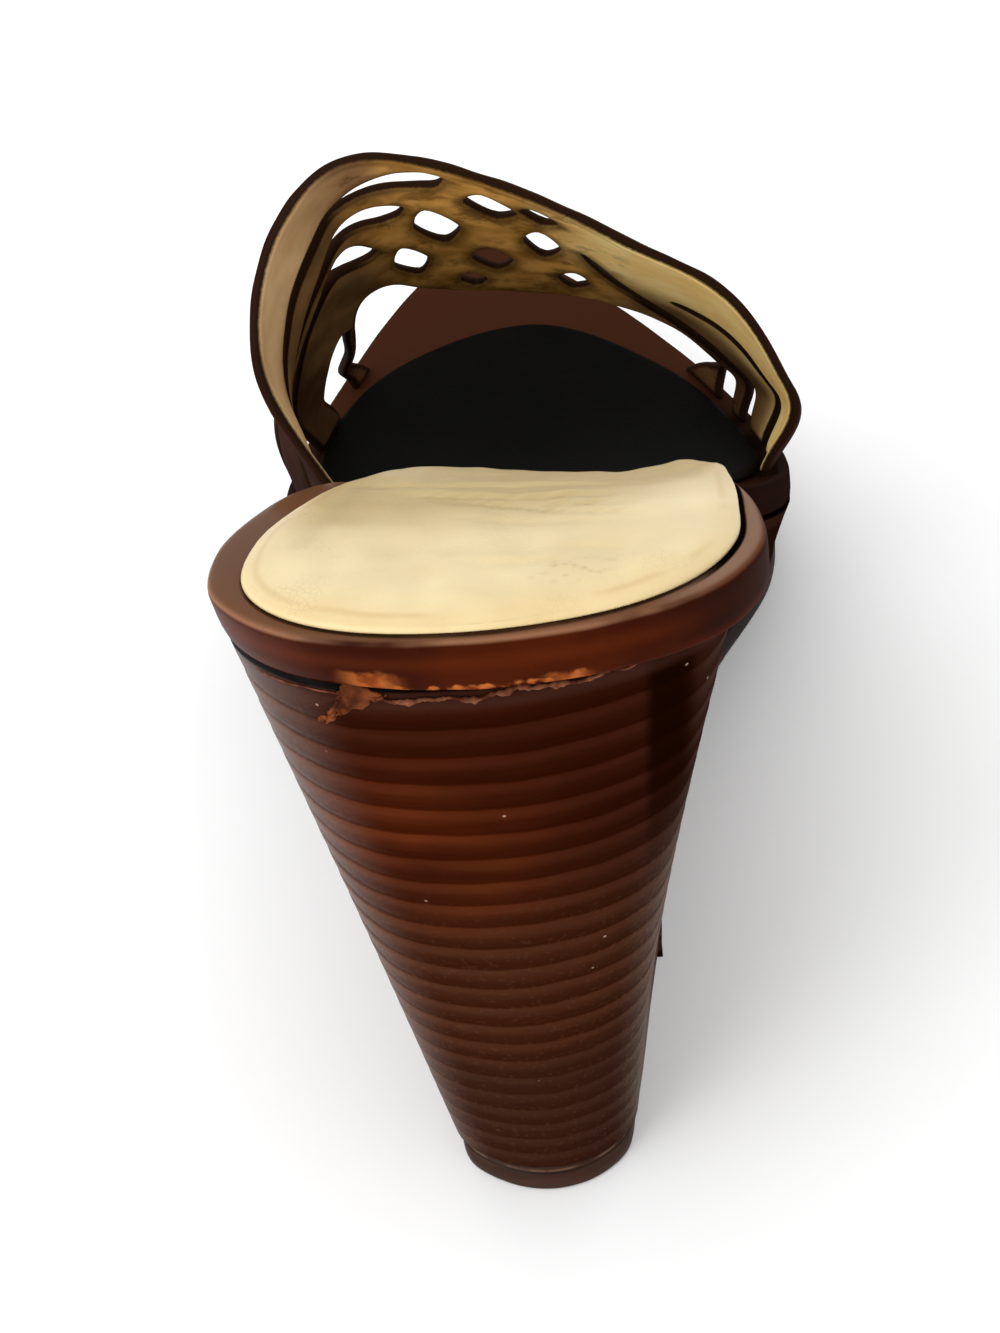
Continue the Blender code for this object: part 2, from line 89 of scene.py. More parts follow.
# Torn flap and frayed edge behind the heel
FLAP_TIP = 0.9
FLAP_WAVE = 0.32
FLAP_THICKNESS = 0.35
FRAY_START, FRAY_END = -25.0, 14.5
TEAR_START, TEAR_FADE = -13.0, 3.0
# Heel pad and forefoot sock
SOCK_THICKNESS = 1.6
SOCK_ROLL = 1.2
PAD_ROLL = 0.35
PAD_EDGE = 0.5
CREASE_END, CREASE_FADE = 2.0, 8.0
# Upper: wall and its swelling, haunch, inset and flare of the feet, length of a knot across, window corners
WALL = 1.6
EDGE_SWELL, SWELL_FADE = 0.28, 2.2
SWELL_WAVE = 0.12
HAUNCH_OUT = 1.3
HAUNCH_UP = 2.5
HAUNCH_FRONT = 170.0
HAUNCH_LENGTH = 40.0
STRAP_INSET = 2.2
INNER_INSET = 0.7
FLARE = 2.4
FLARE_LENGTH = 14.0
FLARE_FRONT = 36.0
FLARE_FADE = 20.0
KNOT_LENGTH = 26.0
KNOTS = 7
WINDOW_SHAPE = 1.35

# Platform edge: distance forward, inner and outer half width, height of the top, fall to the outer side
RIM = np.array([
    (0, 0, 0, 105.1, 0),
    (2.5, 17, 17, 104.9, 0),
    (7, 24.2, 24.2, 104.4, 0),
    (14, 29.2, 28.4, 103.3, 0.1),
    (24, 29.7, 29.2, 100.8, 0.5),
    (40, 25.8, 27.6, 94.6, 1.3),
    (60, 21.6, 24.4, 82.9, 1.8),
    (80, 22, 25, 67.5, 1.6),
    (100, 27, 30.8, 51, 0.9),
    (120, 34.4, 39.4, 36.5, 0.4),
    (140, 40.2, 44.6, 24.5, 0),
    (155, 42.3, 44.8, 18.8, 0),
    (170, 41, 41.2, 16, 0),
    (185, 37.2, 35, 15.8, 0),
    (200, 31.2, 26.2, 17, 0),
    (215, 23.2, 14.6, 19.4, 0),
    (225, 15, 3.8, 21.5, 0),
    (LENGTH, 5.5, -5.5, 22.6, 0),
])
# Side of the platform's edge, from below: drop from the top, distance inwards
RIM_SIDE = ((RIM_HEIGHT, 0.5), (RIM_HEIGHT - 0.25, 0.15), (RIM_HEIGHT - 0.7, 0), (4.6, -0.12), (3.2, -0.1))
# Outline on the ground: distance forward, inner and outer half width, height of the tread
GROUND = np.array([
    (14.2, 2, -2, 0),
    (16, 8.8, 4.6, 0),
    (20, 13.7, 8.8, 0),
    (27, 15.3, 10.5, 0),
    (40, 15.5, 12.7, 0),
    (55, 15.7, 15.2, 0),
    (80, 17.2, 17.2, 0),
    (100, 20.6, 21.6, 0),
    (120, 28.4, 31, 0),
    (140, 36.8, 41, 0),
    (155, 40.1, 42.8, 0),
    (170, 39, 39.3, 0),
    (185, 35.3, 33.2, 0),
    (200, 29.3, 24.4, 1.3),
    (213, 22, 13.8, 3.6),
    (222, 13.8, 3.2, 5.6),
    (226.5, 5.5, -5.5, 6.6),
])
# Face of one layer of the wedge, from below: share of the layer, depth, tone (painted light and shade)
LAYER_PROFILE = np.array([
    (0, 0.16, 0),
    (0.05, 0.09, 0.12),
    (0.2, 0.06, 0.2),
    (0.4, 0.03, 0.38),
    (0.6, 0.01, 0.7),
    (0.78, 0, 1.1),
    (0.88, 0.02, 0.9),
    (0.95, 0.09, 0.1),
])
# Torn flap: x and z of the two ends of its top edge and of its tip
FLAP = np.array([(-15, 98.6), (-10.8, 97.2), (-17.6, 93.4)])
# Heel pad: distance forward, inner and outer half width
HEEL_SOCK = np.array([
    (0.9, 0, 0),
    (3.2, 14.6, 14.6),
    (7, 21, 21),
    (14, 25.3, 25.6),
    (24, 25, 26.8),
    (40, 20.4, 26.8),
    (60, 16.2, 24),
    (77.7, 15.8, 24),
])
# Forefoot sock: distance forward, inner and outer half width
FORE_SOCK = np.array([
    (78.1, 17.2, 20.2),
    (100, 22, 25.8),
    (120, 29.4, 34.2),
    (140, 35.2, 39.4),
    (155, 37.3, 39.4),
    (170, 36, 35.8),
    (183, 32.2, 29.4),
    (193, 25, 20.8),
    (200, 14.5, 12.5),
    (204, -1, 1),
])
# Footbed's hollow: distance forward, depth
HOLLOW = np.array([
    (0, 0), (5, 0.1), (14, 0.9), (30, 1.7), (80, 1.2), (150, 0.8), (LENGTH, 0.3),
])
# Outer face of the upper: distance forward, x and z of inner side and shoulder, ridge, outer shoulder, side
SECTIONS = np.array([
    (92, -32.8, 85, -28.5, 107, -17, 117.5, 12, 102, 34.5, 79),
    (112, -36.1, 69, -29.5, 94.5, -14.5, 105.2, 16, 89, 40.5, 62),
    (132, -38.4, 50, -29, 76, -11, 85.5, 20, 73, 44.6, 45),
    (152, -39.8, 37, -27, 57.5, -8, 64.5, 19, 56.5, 43.5, 34),
    (172, -36.2, 27.5, -23, 41.5, -5, 45, 15, 41, 37.5, 26),
    (200, -27.4, 24, -17, 32.5, -5, 35.5, 8, 32.5, 24, 24),
])
# Rear edge of the upper: place across (-3 inner foot, 0 ridge, 3 outer foot) and distance forward
TOPLINE = np.array([
    (-3, 104), (-2, 107.5), (-1, 114.5), (0, 118.5), (1, 122), (2, 127), (3, 128),
])
# Front edge of the upper over the toes: place across and distance forward
FRONT = np.array([
    (-3, 197), (-2.5, 193), (-2, 187), (-1.6, 179), (-1.35, 172), (-1.2, 166.5), (-1.05, 160.5),
    (-0.9, 156.6), (-0.72, 155.2), (-0.52, 157), (-0.4, 160.2), (-0.2, 163.4), (0.1, 165.5), (0.5, 166.5),
    (1, 164.5), (1.3, 162.3), (1.5, 163.5), (1.7, 167), (2.4, 180.5), (3, 187),
])
# Slits between straps: rows of place across, distance forward, half width
SLITS = (
    ((0.26, 122.4, 0.4), (0.18, 124.2, 2.4), (0.08, 125, 2.4), (-0.1, 125.6, 1.8), (-0.3, 126, 1.2),
     (-0.6, 126.2, 0.7), (-1, 125.2, 0.6), (-1.5, 122.5, 0.6), (-2, 120.5, 0.8), (-2.5, 120.8, 1.3),
     (-3.1, 121.5, 1.8)),
    ((-0.1, 133.8, 0.4), (-0.18, 134.2, 1.9), (-0.3, 133.9, 2.5), (-0.45, 133.1, 2.1), (-0.7, 132.6, 1.4),
     (-1, 132.4, 0.9), (-1.5, 133.4, 0.9), (-2, 135.6, 1.1), (-2.5, 139.5, 1.8), (-3.1, 143, 2.6)),
    ((-0.47, 143.4, 0.4), (-0.56, 142.2, 2.4), (-0.66, 140.9, 3.1), (-0.78, 139.6, 2.8), (-0.93, 138.4, 2.1),
     (-1.1, 139.3, 1.4), (-1.4, 144, 1.2), (-2, 153.5, 1.7), (-2.5, 161, 3.2), (-3.1, 167, 4.6)),
    ((-1.2, 160.3, 0.4), (-1.28, 162.2, 1.7), (-1.42, 166.2, 3.8), (-1.6, 170.4, 4.6), (-2, 177.6, 4.8),
     (-2.5, 183.4, 4.4), (-3.1, 187, 4.4)),
    ((1.3, 148, 0.4), (1.42, 147.5, 0.9), (1.65, 146.5, 1), (2, 148, 1.1), (2.5, 149.5, 1.7),
     (3.1, 150, 2.4)),
    ((0.78, 142, 0.4), (0.85, 145.6, 1.4), (0.98, 150.4, 1.6), (1.25, 156, 1.1), (1.6, 160.3, 1.1),
     (2, 163, 1.2), (2.5, 164, 1.5), (3.1, 163.5, 2)),
    ((1.95, 170.6, 0.4), (2.1, 172, 1.6), (2.45, 173.3, 2.6), (3.1, 172.5, 2.6)),
)
# Diamond windows where the straps cross: across, forward, half width across, half length
WINDOWS = np.array([
    (0.40, 131, 0.115, 4.6),
    (0.04, 140.5, 0.135, 5.4),
    (-0.28, 150.8, 0.13, 5),
    (0.585, 143, 0.085, 5.4),
    (0.28, 152.2, 0.115, 4.6),
    (0.08, 160.4, 0.09, 2.6),
    (0.76, 157.2, 0.09, 3.8),
    (0.62, 129.8, 0.08, 3.6),
])
# Creases of the heel pad: x and y of each end, how far the middle bows forward, depth, width
PAD_CREASES = np.array([
    (-11, 38.6, 13.5, 31, -1, 0.48, 0.8),
    (-6.5, 34.2, 15.5, 27.2, -1.4, 0.432, 0.7),
    (-1, 31, 13, 25.6, -0.8, 0.312, 0.5),
    (3, 28.6, 18, 22.6, -0.6, 0.288, 0.5),
    (-4, 27, 10, 21.8, -0.5, 0.24, 0.5),
    (5, 24.6, 15, 20.4, -0.4, 0.192, 0.5),
    (-17, 45, 5, 40.2, -0.8, 0.384, 1.1),
    (1, 41.2, 20.5, 34, 0.9, 0.336, 0.9),
    (-21.5, 16, -15, 52, -1.6, 0.288, 3),
    (-3, 13, 9, 11.6, -0.5, 0.192, 0.7),
    (6, 15.5, 14, 13.4, 0.4, 0.168, 0.6),
])


def smooth(at, values, where):
    """Value at each place of a smooth curve through the rows of a table: a cubic on each span, with the
    slope at a row between those of the spans beside it."""
    step = np.diff(at)
    slope = np.diff(values) / step
    lean = np.concatenate([
        slope[:1],
        (slope[:-1] * step[1:] + slope[1:] * step[:-1]) / (step[1:] + step[:-1]),
        slope[-1:],
    ])
    i = np.clip(np.searchsorted(at, where, side="right") - 1, 0, len(at) - 2)
    t = (where - at[i]) / step[i]
    start = (1 + 2 * t) * (1 - t) ** 2 * values[i] + t * (1 - t) ** 2 * step[i] * lean[i]
    end = t * t * (3 - 2 * t) * values[i + 1] + t * t * (t - 1) * step[i] * lean[i + 1]
    return start + end


def read(table, column, where):
    """A column of a table read smoothly along its first."""
    return smooth(table[:, 0], table[:, column], where)


def eased(t):
    """Smooth step from 0 to 1."""
    t = np.clip(t, 0, 1)
    return t * t * (3 - 2 * t)


def hump(x, middle, width):
    """Bell curve exp(-((x - middle) / width)^2)."""
    return np.exp(-((x - middle) / width) ** 2)


def turned(y, back, front):
    """Distance forward as a share of half a turn, so that both ends of an outline close round."""
    return np.arccos(np.clip(1 - 2 * (y - back) / (front - back), -1, 1)) / np.pi


def half_width(table, column, y):
    """Half width of an outline at a distance forward. An end whose two sides meet closes round."""
    back, front = table[0, 0], table[-1, 0]
    if abs(table[0, 1] + table[0, 2]) > 1e-6:
        back = 2 * back - front
    if abs(table[-1, 1] + table[-1, 2]) > 1e-6:
        front = 2 * front - back
    return smooth(turned(table[:, 0], back, front), table[:, column], turned(y, back, front))


def rim_top(x, y):
    """Height of the platform's edge."""
    fall = read(RIM, 4, y)
    return read(RIM, 3, y) - fall * x / TILT_WIDTH


def footbed(x, y):
    """Height of the hollowed footbed: the edge's height less a parabola across the foot."""
    inner = half_width(RIM, 1, y) - RIM_ROUND
    outer = half_width(RIM, 2, y) - RIM_ROUND
    middle = (outer - inner) / 2
    reach = np.maximum((outer + inner) / 2, 1.0)
    share = np.clip((x - middle) / reach, -1, 1)
    return rim_top(x, y) - read(HOLLOW, 1, y) * (1 - share ** 2)


def toe_spring(y):
    """Rise of the sole towards the toe, flat under heel and ball."""
    return np.maximum(read(GROUND, 3, y), 0.0)


def tread(y):
    """Height of the tread, raised a little in the waist between heel and forefoot."""
    waist = eased((y - WAIST_START) / WAIST_RISE) * eased((WAIST_END - y) / WAIST_FALL)
    return toe_spring(y) + WAIST_LIFT * waist


def outline(table, y, across=1):
    """Points round an outline: forward on the inner side, over the front, back on the outer side."""
    inner = np.stack([-half_width(table, 1, y), y], -1)
    outer = np.stack([half_width(table, 2, y), y], -1)
    share = np.arange(1, across)[:, None] / across
    over_front = inner[-1] + (outer[-1] - inner[-1]) * share
    over_back = outer[0] + (inner[0] - outer[0]) * share
    return np.concatenate([inner, over_front, outer[::-1], over_back])


def inset(loop, distance):
    """The outline moved inwards in plan. distance may differ from point to point."""
    new = np.linalg.norm(loop - np.roll(loop, 1, 0), axis=1) > 1e-6
    single = loop[new]
    along = np.roll(single, -1, 0) - np.roll(single, 1, 0)
    along /= np.linalg.norm(along, axis=1, keepdims=True)
    inwards = np.stack([along[:, 1], -along[:, 0]], -1)
    which = (np.cumsum(new) - 1) % len(single)
    return loop + inwards[which] * np.broadcast_to(distance, len(loop))[:, None]


def stations(back, front, count, from_end=True, to_end=True):
    """Distances forward, closer together towards the ends that close round."""
    t = np.linspace(0.0 if from_end else 0.5, 1.0 if to_end else 0.5, count)
    share = (1 - np.cos(np.pi * t)) / 2
    share = (share - share[0]) / (share[-1] - share[0])
    return back + (front - back) * share


def whole(table, count, across=1, from_end=True, to_end=True):
    """Outline of a table from its first row to its last."""
    return outline(table, stations(table[0, 0], table[-1, 0], count, from_end, to_end), across)


def level(loop, height):
    """An outline in plan with a height at each point."""
    return np.concatenate([loop, np.broadcast_to(height, len(loop))[:, None]], 1)


def ripple(a, b, seed, count=9, longest=60.0, shortest=6.0):
    """Smooth unevenness between about -1 and 1: a sum of sine waves in random directions."""
    random = np.random.default_rng(seed)
    size = np.geomspace(longest, shortest, count)
    turn = random.uniform(0, np.pi, count)
    phase = random.uniform(0, 2 * np.pi, count)
    total = np.zeros(np.broadcast(a, b).shape)
    for k in range(count):
        wave = 2 * np.pi * (a * np.cos(turn[k]) + b * np.sin(turn[k])) / size[k] + phase[k]
        total = total + np.sin(wave) * (size[k] / longest) ** 0.5
    return total / 2


def placed(name, data):
    """A new object in the scene."""
    made = bpy.data.objects.new(name, data)
    bpy.context.scene.collection.objects.link(made)
    return made


def piece(name, surface, look, node):
    """One piece of the shoe over a node. Its surface is points in millimetres, faces and, where it has them,
    marks, which are values kept at each point."""
    points, faces, marks = surface if len(surface) == 3 else (*surface, {})
    mesh = bpy.data.meshes.new(name)
    mesh.from_pydata(((points - MIDDLE) * METRE_PER_MM).tolist(), [], faces.tolist())
    for mark, values in marks.items():
        mesh.attributes.new(mark, "FLOAT", "POINT").data.foreach_set("value", np.asarray(values, np.float32))
    work = bmesh.new()
    work.from_mesh(mesh)
    bmesh.ops.remove_doubles(work, verts=work.verts, dist=2e-6)
    bmesh.ops.dissolve_degenerate(work, edges=work.edges, dist=1e-6)
    bmesh.ops.recalc_face_normals(work, faces=work.faces)
    work.to_mesh(mesh)
    work.free()
    mesh.shade_smooth()
    mesh.materials.append(look)
    made = placed(name, mesh)
    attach(made, "root")
    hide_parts(node)
    return made


def quads(number):
    """Faces between the neighbours of a grid of point numbers."""
    return np.stack([number[:-1, :-1], number[1:, :-1], number[1:, 1:], number[:-1, 1:]], -1).reshape(-1, 4)


def loft(rows, across=1, crown=None, keel=None):
    """Points and faces of a body whose sides run through rows of outlines, lowest first.

    Rungs across close the body below and above. crown and keel give the height of the points on the
    rungs, which are straight without them.
    """
    count, columns = rows.shape[:2]
    half = columns // 2 - across + 1
    ring = np.arange(columns)
    grid = np.empty((half, across + 1), int)
    grid[:, 0] = ring[:half]
    grid[:, -1] = 2 * half + across - 2 - ring[:half]
    grid[-1, 1:-1] = half + ring[:across - 1]
    grid[0, 1:-1] = columns - 1 - ring[:across - 1]
    points = [rows.reshape(-1, 3)]
    first = ring[None] + np.arange(count - 1)[:, None] * columns
    after = np.roll(first, -1, 1)
    faces = [np.stack([first, after, after + columns, first + columns], -1).reshape(-1, 4)]
    total = count * columns
    share = np.arange(1, across)[None, :, None] / across
    for row, height in ((0, keel), (count - 1, crown)):
        rungs = grid + row * columns
        inner = rows[row, grid[1:-1, 0]][:, None]
        outer = rows[row, grid[1:-1, -1]][:, None]
        between = inner + (outer - inner) * share
        if height:
            between[..., 2] = height(between[..., 0], between[..., 1])
        number = np.arange(between[..., 0].size).reshape(between.shape[:2])
        rungs[1:-1, 1:-1] = total + number
        total += number.size
        points.append(between.reshape(-1, 3))
        faces.append(quads(rungs)[:, ::-1] if row == 0 else quads(rungs))
    return np.concatenate(points), np.concatenate(faces)


class Field:
    """A value that varies over a surface. Arithmetic on it adds math nodes."""

    def __init__(self, tree, socket):
        self.tree = tree
        self.socket = socket

    def node(self, kind, inputs, output=0, **settings):
        """Any other node, its inputs named or numbered, fed from fields or plain values."""
        made = self.tree.nodes.new(kind)
        for key, value in settings.items():
            setattr(made, key, value)
        for key, value in inputs.items():
            if isinstance(value, Field):
                self.tree.links.new(value.socket, made.inputs[key])
            else:
                made.inputs[key].default_value = value
        return Field(self.tree, made.outputs[output])

    def math(self, operation, *values):
        """A math node on this field and others."""
        return self.node("ShaderNodeMath", dict(enumerate((self, *values))), operation=operation)

    def __add__(self, other):
        return self.math("ADD", other)

    def __sub__(self, other):
        return self.math("SUBTRACT", other)

    def __rsub__(self, other):
        return self.math("MULTIPLY_ADD", -1.0, other)

    def __mul__(self, other):
        return self.math("MULTIPLY", other)

    __radd__ = __add__
    __rmul__ = __mul__

    def rise(self, low, high):
        """0 below low, 1 above high, smooth between. low above high makes it fall."""
        if low > high:
            return 1.0 - self.rise(high, low)
        return self.node("ShaderNodeMapRange", {0: self, 1: low, 2: high}, interpolation_type="SMOOTHSTEP")

    def bell(self, middle, width):
        """1 at the middle, 0 from a width away."""
        return (self - middle).math("ABSOLUTE").rise(width, 0.0)

    def mix(self, start, end):
        """Colour between two colours, each a field or screen values, this field the share of the second."""
        start, end = (value if isinstance(value, Field) else colour(*value) for value in (start, end))
        return self.node("ShaderNodeMix", {0: self, 6: start, 7: end}, output=2, data_type="RGBA")


def colour(red, green, blue):
    """Linear colour from screen values of 0 to 255."""
    screen = np.array([red, green, blue]) / 255
    linear = np.where(screen < 0.04045, screen / 12.92, ((screen + 0.055) / 1.055) ** 2.4)
    return (*linear.tolist(), 1.0)


class Finish:
    """A material with its place on the shoe in millimetres ready for use."""

    def __init__(self, name, **settings):
        self.material = bpy.data.materials.new(name)
        self.material.use_nodes = True
        self.tree = self.material.node_tree
        self.shader = self.tree.nodes["Principled BSDF"]
        for key, value in settings.items():
            self.socket(key).default_value = value
        place = Field(self.tree, self.tree.nodes.new("ShaderNodeTexCoord").outputs["Object"])
        inputs = {"Vector": place, "Location": MIDDLE, "Scale": (1 / METRE_PER_MM,) * 3}
        self.place = place.node("ShaderNodeMapping", inputs)
        split = self.tree.nodes.new("ShaderNodeSeparateXYZ")
        self.tree.links.new(self.place.socket, split.inputs[0])
        self.x, self.y, self.z = (Field(self.tree, socket) for socket in split.outputs)

    def socket(self, key):
        """Input of the shader, named in small letters."""
        return self.shader.inputs[key.replace("_", " ").title().replace("Ior", "IOR")]

    def mark(self, name):
        """A value kept at the piece's points."""
        made = self.tree.nodes.new("ShaderNodeAttribute")
        made.attribute_name = name
        return Field(self.tree, made.outputs["Fac"])

    def noise(self, size, detail=2.0, stretch=(1.0, 1.0, 1.0), rough=0.5):
        """Soft noise with features of that size in millimetres."""
        scale = tuple(1.0 / (size * share) for share in stretch)
        where = self.place.node("ShaderNodeMapping", {"Vector": self.place, "Scale": scale})
        inputs = {"Vector": where, "Scale": 1.0, "Detail": detail, "Roughness": rough}
        return where.node("ShaderNodeTexNoise", inputs)

    def cells(self, size, feature="F1"):
        """Distance to the nearest of scattered points, or to the border between their cells."""
        inputs = {"Vector": self.place, "Scale": 1.0 / size}
        return self.place.node("ShaderNodeTexVoronoi", inputs, feature=feature)

    def stain(self, share, tone):
        """Lays a tone over the base colour."""
        self.base = share.mix(self.base, tone)

    def done(self, height, distance, **fields):
        """The material, fed with its base colour, the fields and a relief of that height in millimetres."""
        inputs = {"Strength": 1.0, "Distance": distance * METRE_PER_MM, "Height": height}
        fields.update(base_color=self.base, normal=height.node("ShaderNodeBump", inputs))
        for key, value in fields.items():
            self.tree.links.new(value.socket, self.socket(key))
        return self.material


def stacked_finish():
    """Dark brown layers with a painted highlight above the middle of each and painted shade below it,
    a painted warm reflection in the middle of the back, a dark band towards its outer side that is a painted
    reflection, both sides of the heel paler with a painted sheen, painted shade towards the front and a
    painted shadow under the rim."""
    made = Finish("stacked_leather", roughness=0.4, specular_ior_level=0, coat_roughness=0.2, coat_ior=1.4)
    tone = made.mark("tone")
    below = made.mark("below")
    cloud = made.noise(16, 3, (1.6, 1.6, 1))
    streak = made.noise(2.2, 3, (6, 6, 0.5))
    fine = made.noise(1.1, 3, (5, 5, 0.3))
    grain = made.noise(0.7, 2)
    # Share of the lighter colour: each layer's tone is painted light and shade, lightest on its lip, darkest
    # in its groove.
    lip = (tone * (0.45 + cloud * 1.1) + (streak - 0.5) * 0.5).rise(0, 1)
    # Darker layers high up, lighter and greyer ones lower down as a painted reflection of the floor; darker
    # again near the ground.
    high = lip.mix((35, 7, 0), (49, 14, 1))
    low = lip.mix((46, 18, 5), (63, 31, 14))
    foot = lip.mix((44, 19, 8), (52, 26, 13))
    made.base = made.z.rise(76, 50).mix(high, low)
    made.stain(made.z.rise(36, 24), foot)
    back = made.y.rise(24, 12)
    # Painted warm reflection in the middle of the back.
    warm_reflection = made.x.bell(-10, 21) * made.z.bell(71, 22) * back * cloud.rise(0.2, 0.6)
    made.stain(warm_reflection * 0.85, lip.mix((60, 19, 2), (90, 37, 10)))
    made.stain(cloud.rise(0.5, 0.75) * 0.3, (34, 10, 2))
    across = made.x - made.z * 0.05
    # Dark band towards the outer side: a painted reflection of something dark, kept free of gloss.
    shade = across.rise(9.8, 11.6) * across.rise(18.4, 14) * made.z.rise(48, 86) * back
    made.stain(shade * 0.88, (16, 4, 0))
    strip = across.rise(15, 16.6) * made.z.rise(66, 82) * back
    made.stain(strip * 0.3, (52, 26, 13))
    near_heel = made.y.rise(64, 30)
    side = made.mark("inner_side")
    spots = grain.rise(0.45, 0.7)
    # Both sides near the heel paler, with grain spots: a painted sheen, where the gloss is also raised.
    side_sheen = side.rise(0.3, 0.9) * near_heel
    made.stain(side_sheen * (0.16 + lip * 0.2 + spots * 0.15), (116, 74, 50))
    made.stain(grain.rise(0.55, 0.75) * made.z.rise(70, 50) * 0.15, (96, 66, 46))
    # Lower outer side near the heel paler, with grain spots: a painted sheen, with more gloss.
    outer_sheen = side.rise(-0.35, -0.95) * made.z.rise(74, 46) * near_heel
    made.stain(outer_sheen * (0.15 + lip * 0.15 + spots * 0.2), (116, 94, 70))
    # Painted shade on the forward part of the sides, kept free of gloss.
    shaded_flank = made.y.rise(80, 118)
    made.stain(shaded_flank * 0.7, (20, 9, 6))
    made.stain(below.rise(4.2, 2.6) * 0.6, (54, 30, 22))
    # Painted shadow just under the rim.
    made.stain(below.rise(0.9, 0.4), (6, 3, 2))
    speck = made.cells(5).rise(0.05, 0.03) * made.noise(14, 1).rise(0.45, 0.53)
    made.stain(speck * 0.5, (190, 160, 140))
    gloss = 0.02 + lip * 0.05 + side_sheen * 0.4 + outer_sheen * 0.22
    return made.done(fine + streak * 0.6, 0.04, coat_weight=(1 - shade) * (1 - shaded_flank) * gloss)


def wrapped_finish():
    """Glossy chocolate leather, worn to raw orange at two places of the lower edge behind the heel, with a
    painted reflection on its top, a painted highlight along its upper edge, painted shade on its outer face
    and its forward part, and a painted shadow beside the pad.
    """
    made = Finish("wrapped_leather", specular_ior_level=0, coat_roughness=0.18, coat_ior=1.45)
    down = made.mark("down")
    cloud = made.noise(12, 3)
    fine = made.noise(0.8, 3)
    made.base = cloud.rise(0.3, 0.7).mix((44, 9, 0), (64, 19, 0))
    made.stain(down.bell(3, 1.6) * 0.25, (96, 38, 10))
    # Paler top: a painted reflection.
    face = down.rise(0.5, 0.1)
    made.stain(face * 0.65, (110, 76, 52))
    outwards = made.x.rise(14, 24)
    # Painted highlight along the rounded upper edge, weaker on the outer side.
    shoulder_highlight = down.bell(0.5, 0.45) * cloud.rise(0.3, 0.55)
    made.stain(shoulder_highlight * (0.5 - outwards * 0.3), (166, 120, 90))
    ragged = made.noise(2.2, 3)
    back = made.y.rise(9, 5)
    edge = down + ragged * 2
    worn = made.x.bell(-12.2, 4.4) * edge.rise(5, 5.8) + made.x.bell(7.6, 3.4) * edge.rise(6.2, 6.8)
    worn = worn * back
    between = made.x.rise(-12, -9) * made.x.rise(8, 6)
    streak = between * back * edge.rise(6.8, 7.2) * ragged.rise(0.4, 0.55)
    worn = worn.math("MAXIMUM", streak)
    made.stain(worn * 0.85, ragged.rise(0.35, 0.65).mix((120, 56, 22), (178, 98, 48)))
    outer = outwards * made.y.rise(70, 50)
    # Outer side behind the waist: a painted highlight on the top and painted shade on the face below it.
    made.stain(outer * face * 0.65, (138, 110, 92))
    made.stain(outer * down.rise(0.3, 1.2) * down.rise(6.4, 5) * 0.8, (30, 9, 3))
    # Painted shade on the forward part.
    made.stain(made.y.rise(74, 96) * 0.9, (20, 10, 7))
    toe = made.y.rise(166, 186) * down.rise(1.2, 0.4)
    made.stain(toe * 0.85, (60, 32, 20))
    beside = made.mark("beside")
    # Painted shadow on the top beside the pad, wider on the outer side, kept free of gloss.
    gap_shadow = (beside.rise(0.4, 0.1) * 0.7).math("MAXIMUM", beside.rise(0.8, 0.5) * made.x.rise(18, 24))
    gap_shadow = gap_shadow * down.rise(0.4, 0.1) * made.y.rise(84, 78)
    made.stain(gap_shadow, (9, 5, 3))
    gloss = 0.01 + made.y.rise(90, 60) * (0.06 + made.x.rise(-14, -27) * 0.18)
    gloss = gloss * (1 - worn) * (1 - gap_shadow)
    return made.done(fine + cloud * 0.5, 0.05, roughness=0.4 + fine * 0.2 + worn * 0.3, coat_weight=gloss)


def gold_finish():
    """Pale gold pad leather with a fine crackle, darker towards its front, a faint smudge, and painted shade
    in its creases.
    """
    made = Finish("gold_leather", roughness=0.34, ior=1.5)
    cloud = made.noise(16, 3)
    crackle = made.cells(0.9, "DISTANCE_TO_EDGE").rise(0.1, 0) * made.noise(7, 3).rise(0.5, 0.7)
    fine = made.noise(0.7, 3)
    made.base = cloud.rise(0.3, 0.7).mix((207, 186, 138), (221, 203, 157))
    front = (made.y - made.x.rise(8, 28) * 8 + cloud * 8).rise(22, 37) * made.x.rise(-24, -18)
    made.stain(front * 0.76, (170, 144, 87))
    rolled = made.mark("rolled")
    made.stain(rolled.rise(5, 0.5) * 0.3, (196, 164, 104))
    made.stain(rolled.bell(1.7, 0.7) * made.noise(9, 2).rise(0.4, 0.55) * 0.3, (172, 138, 82))
    smudge = made.x.bell(9, 7) * made.y.bell(9, 4) * made.noise(1.6, 4).rise(0.5, 0.7)
    made.stain(smudge * 0.5, (150, 112, 62))
    made.stain(made.noise(3, 4).rise(0.6, 0.75) * 0.15, (192, 162, 106))
    made.stain(crackle * (0.05 + made.x.rise(-12, -20) * 0.12), (150, 116, 70))
    # Painted shade in the creases.
    crease = made.mark("crease").rise(0.14, 0.4)
    made.stain(crease * 0.35, (150, 122, 76))
    return made.done(fine * 0.5 - crackle * 0.25 + cloud * 2, 0.08, roughness=0.3 + fine * 0.14)


def sock_finish():
    """Dull black sock."""
    made = Finish("black_leather", roughness=0.7, specular_ior_level=0.02)
    made.base = made.noise(10, 3).mix((2, 2, 1), (9, 8, 5))
    return made.done(made.noise(0.9, 3), 0.1)


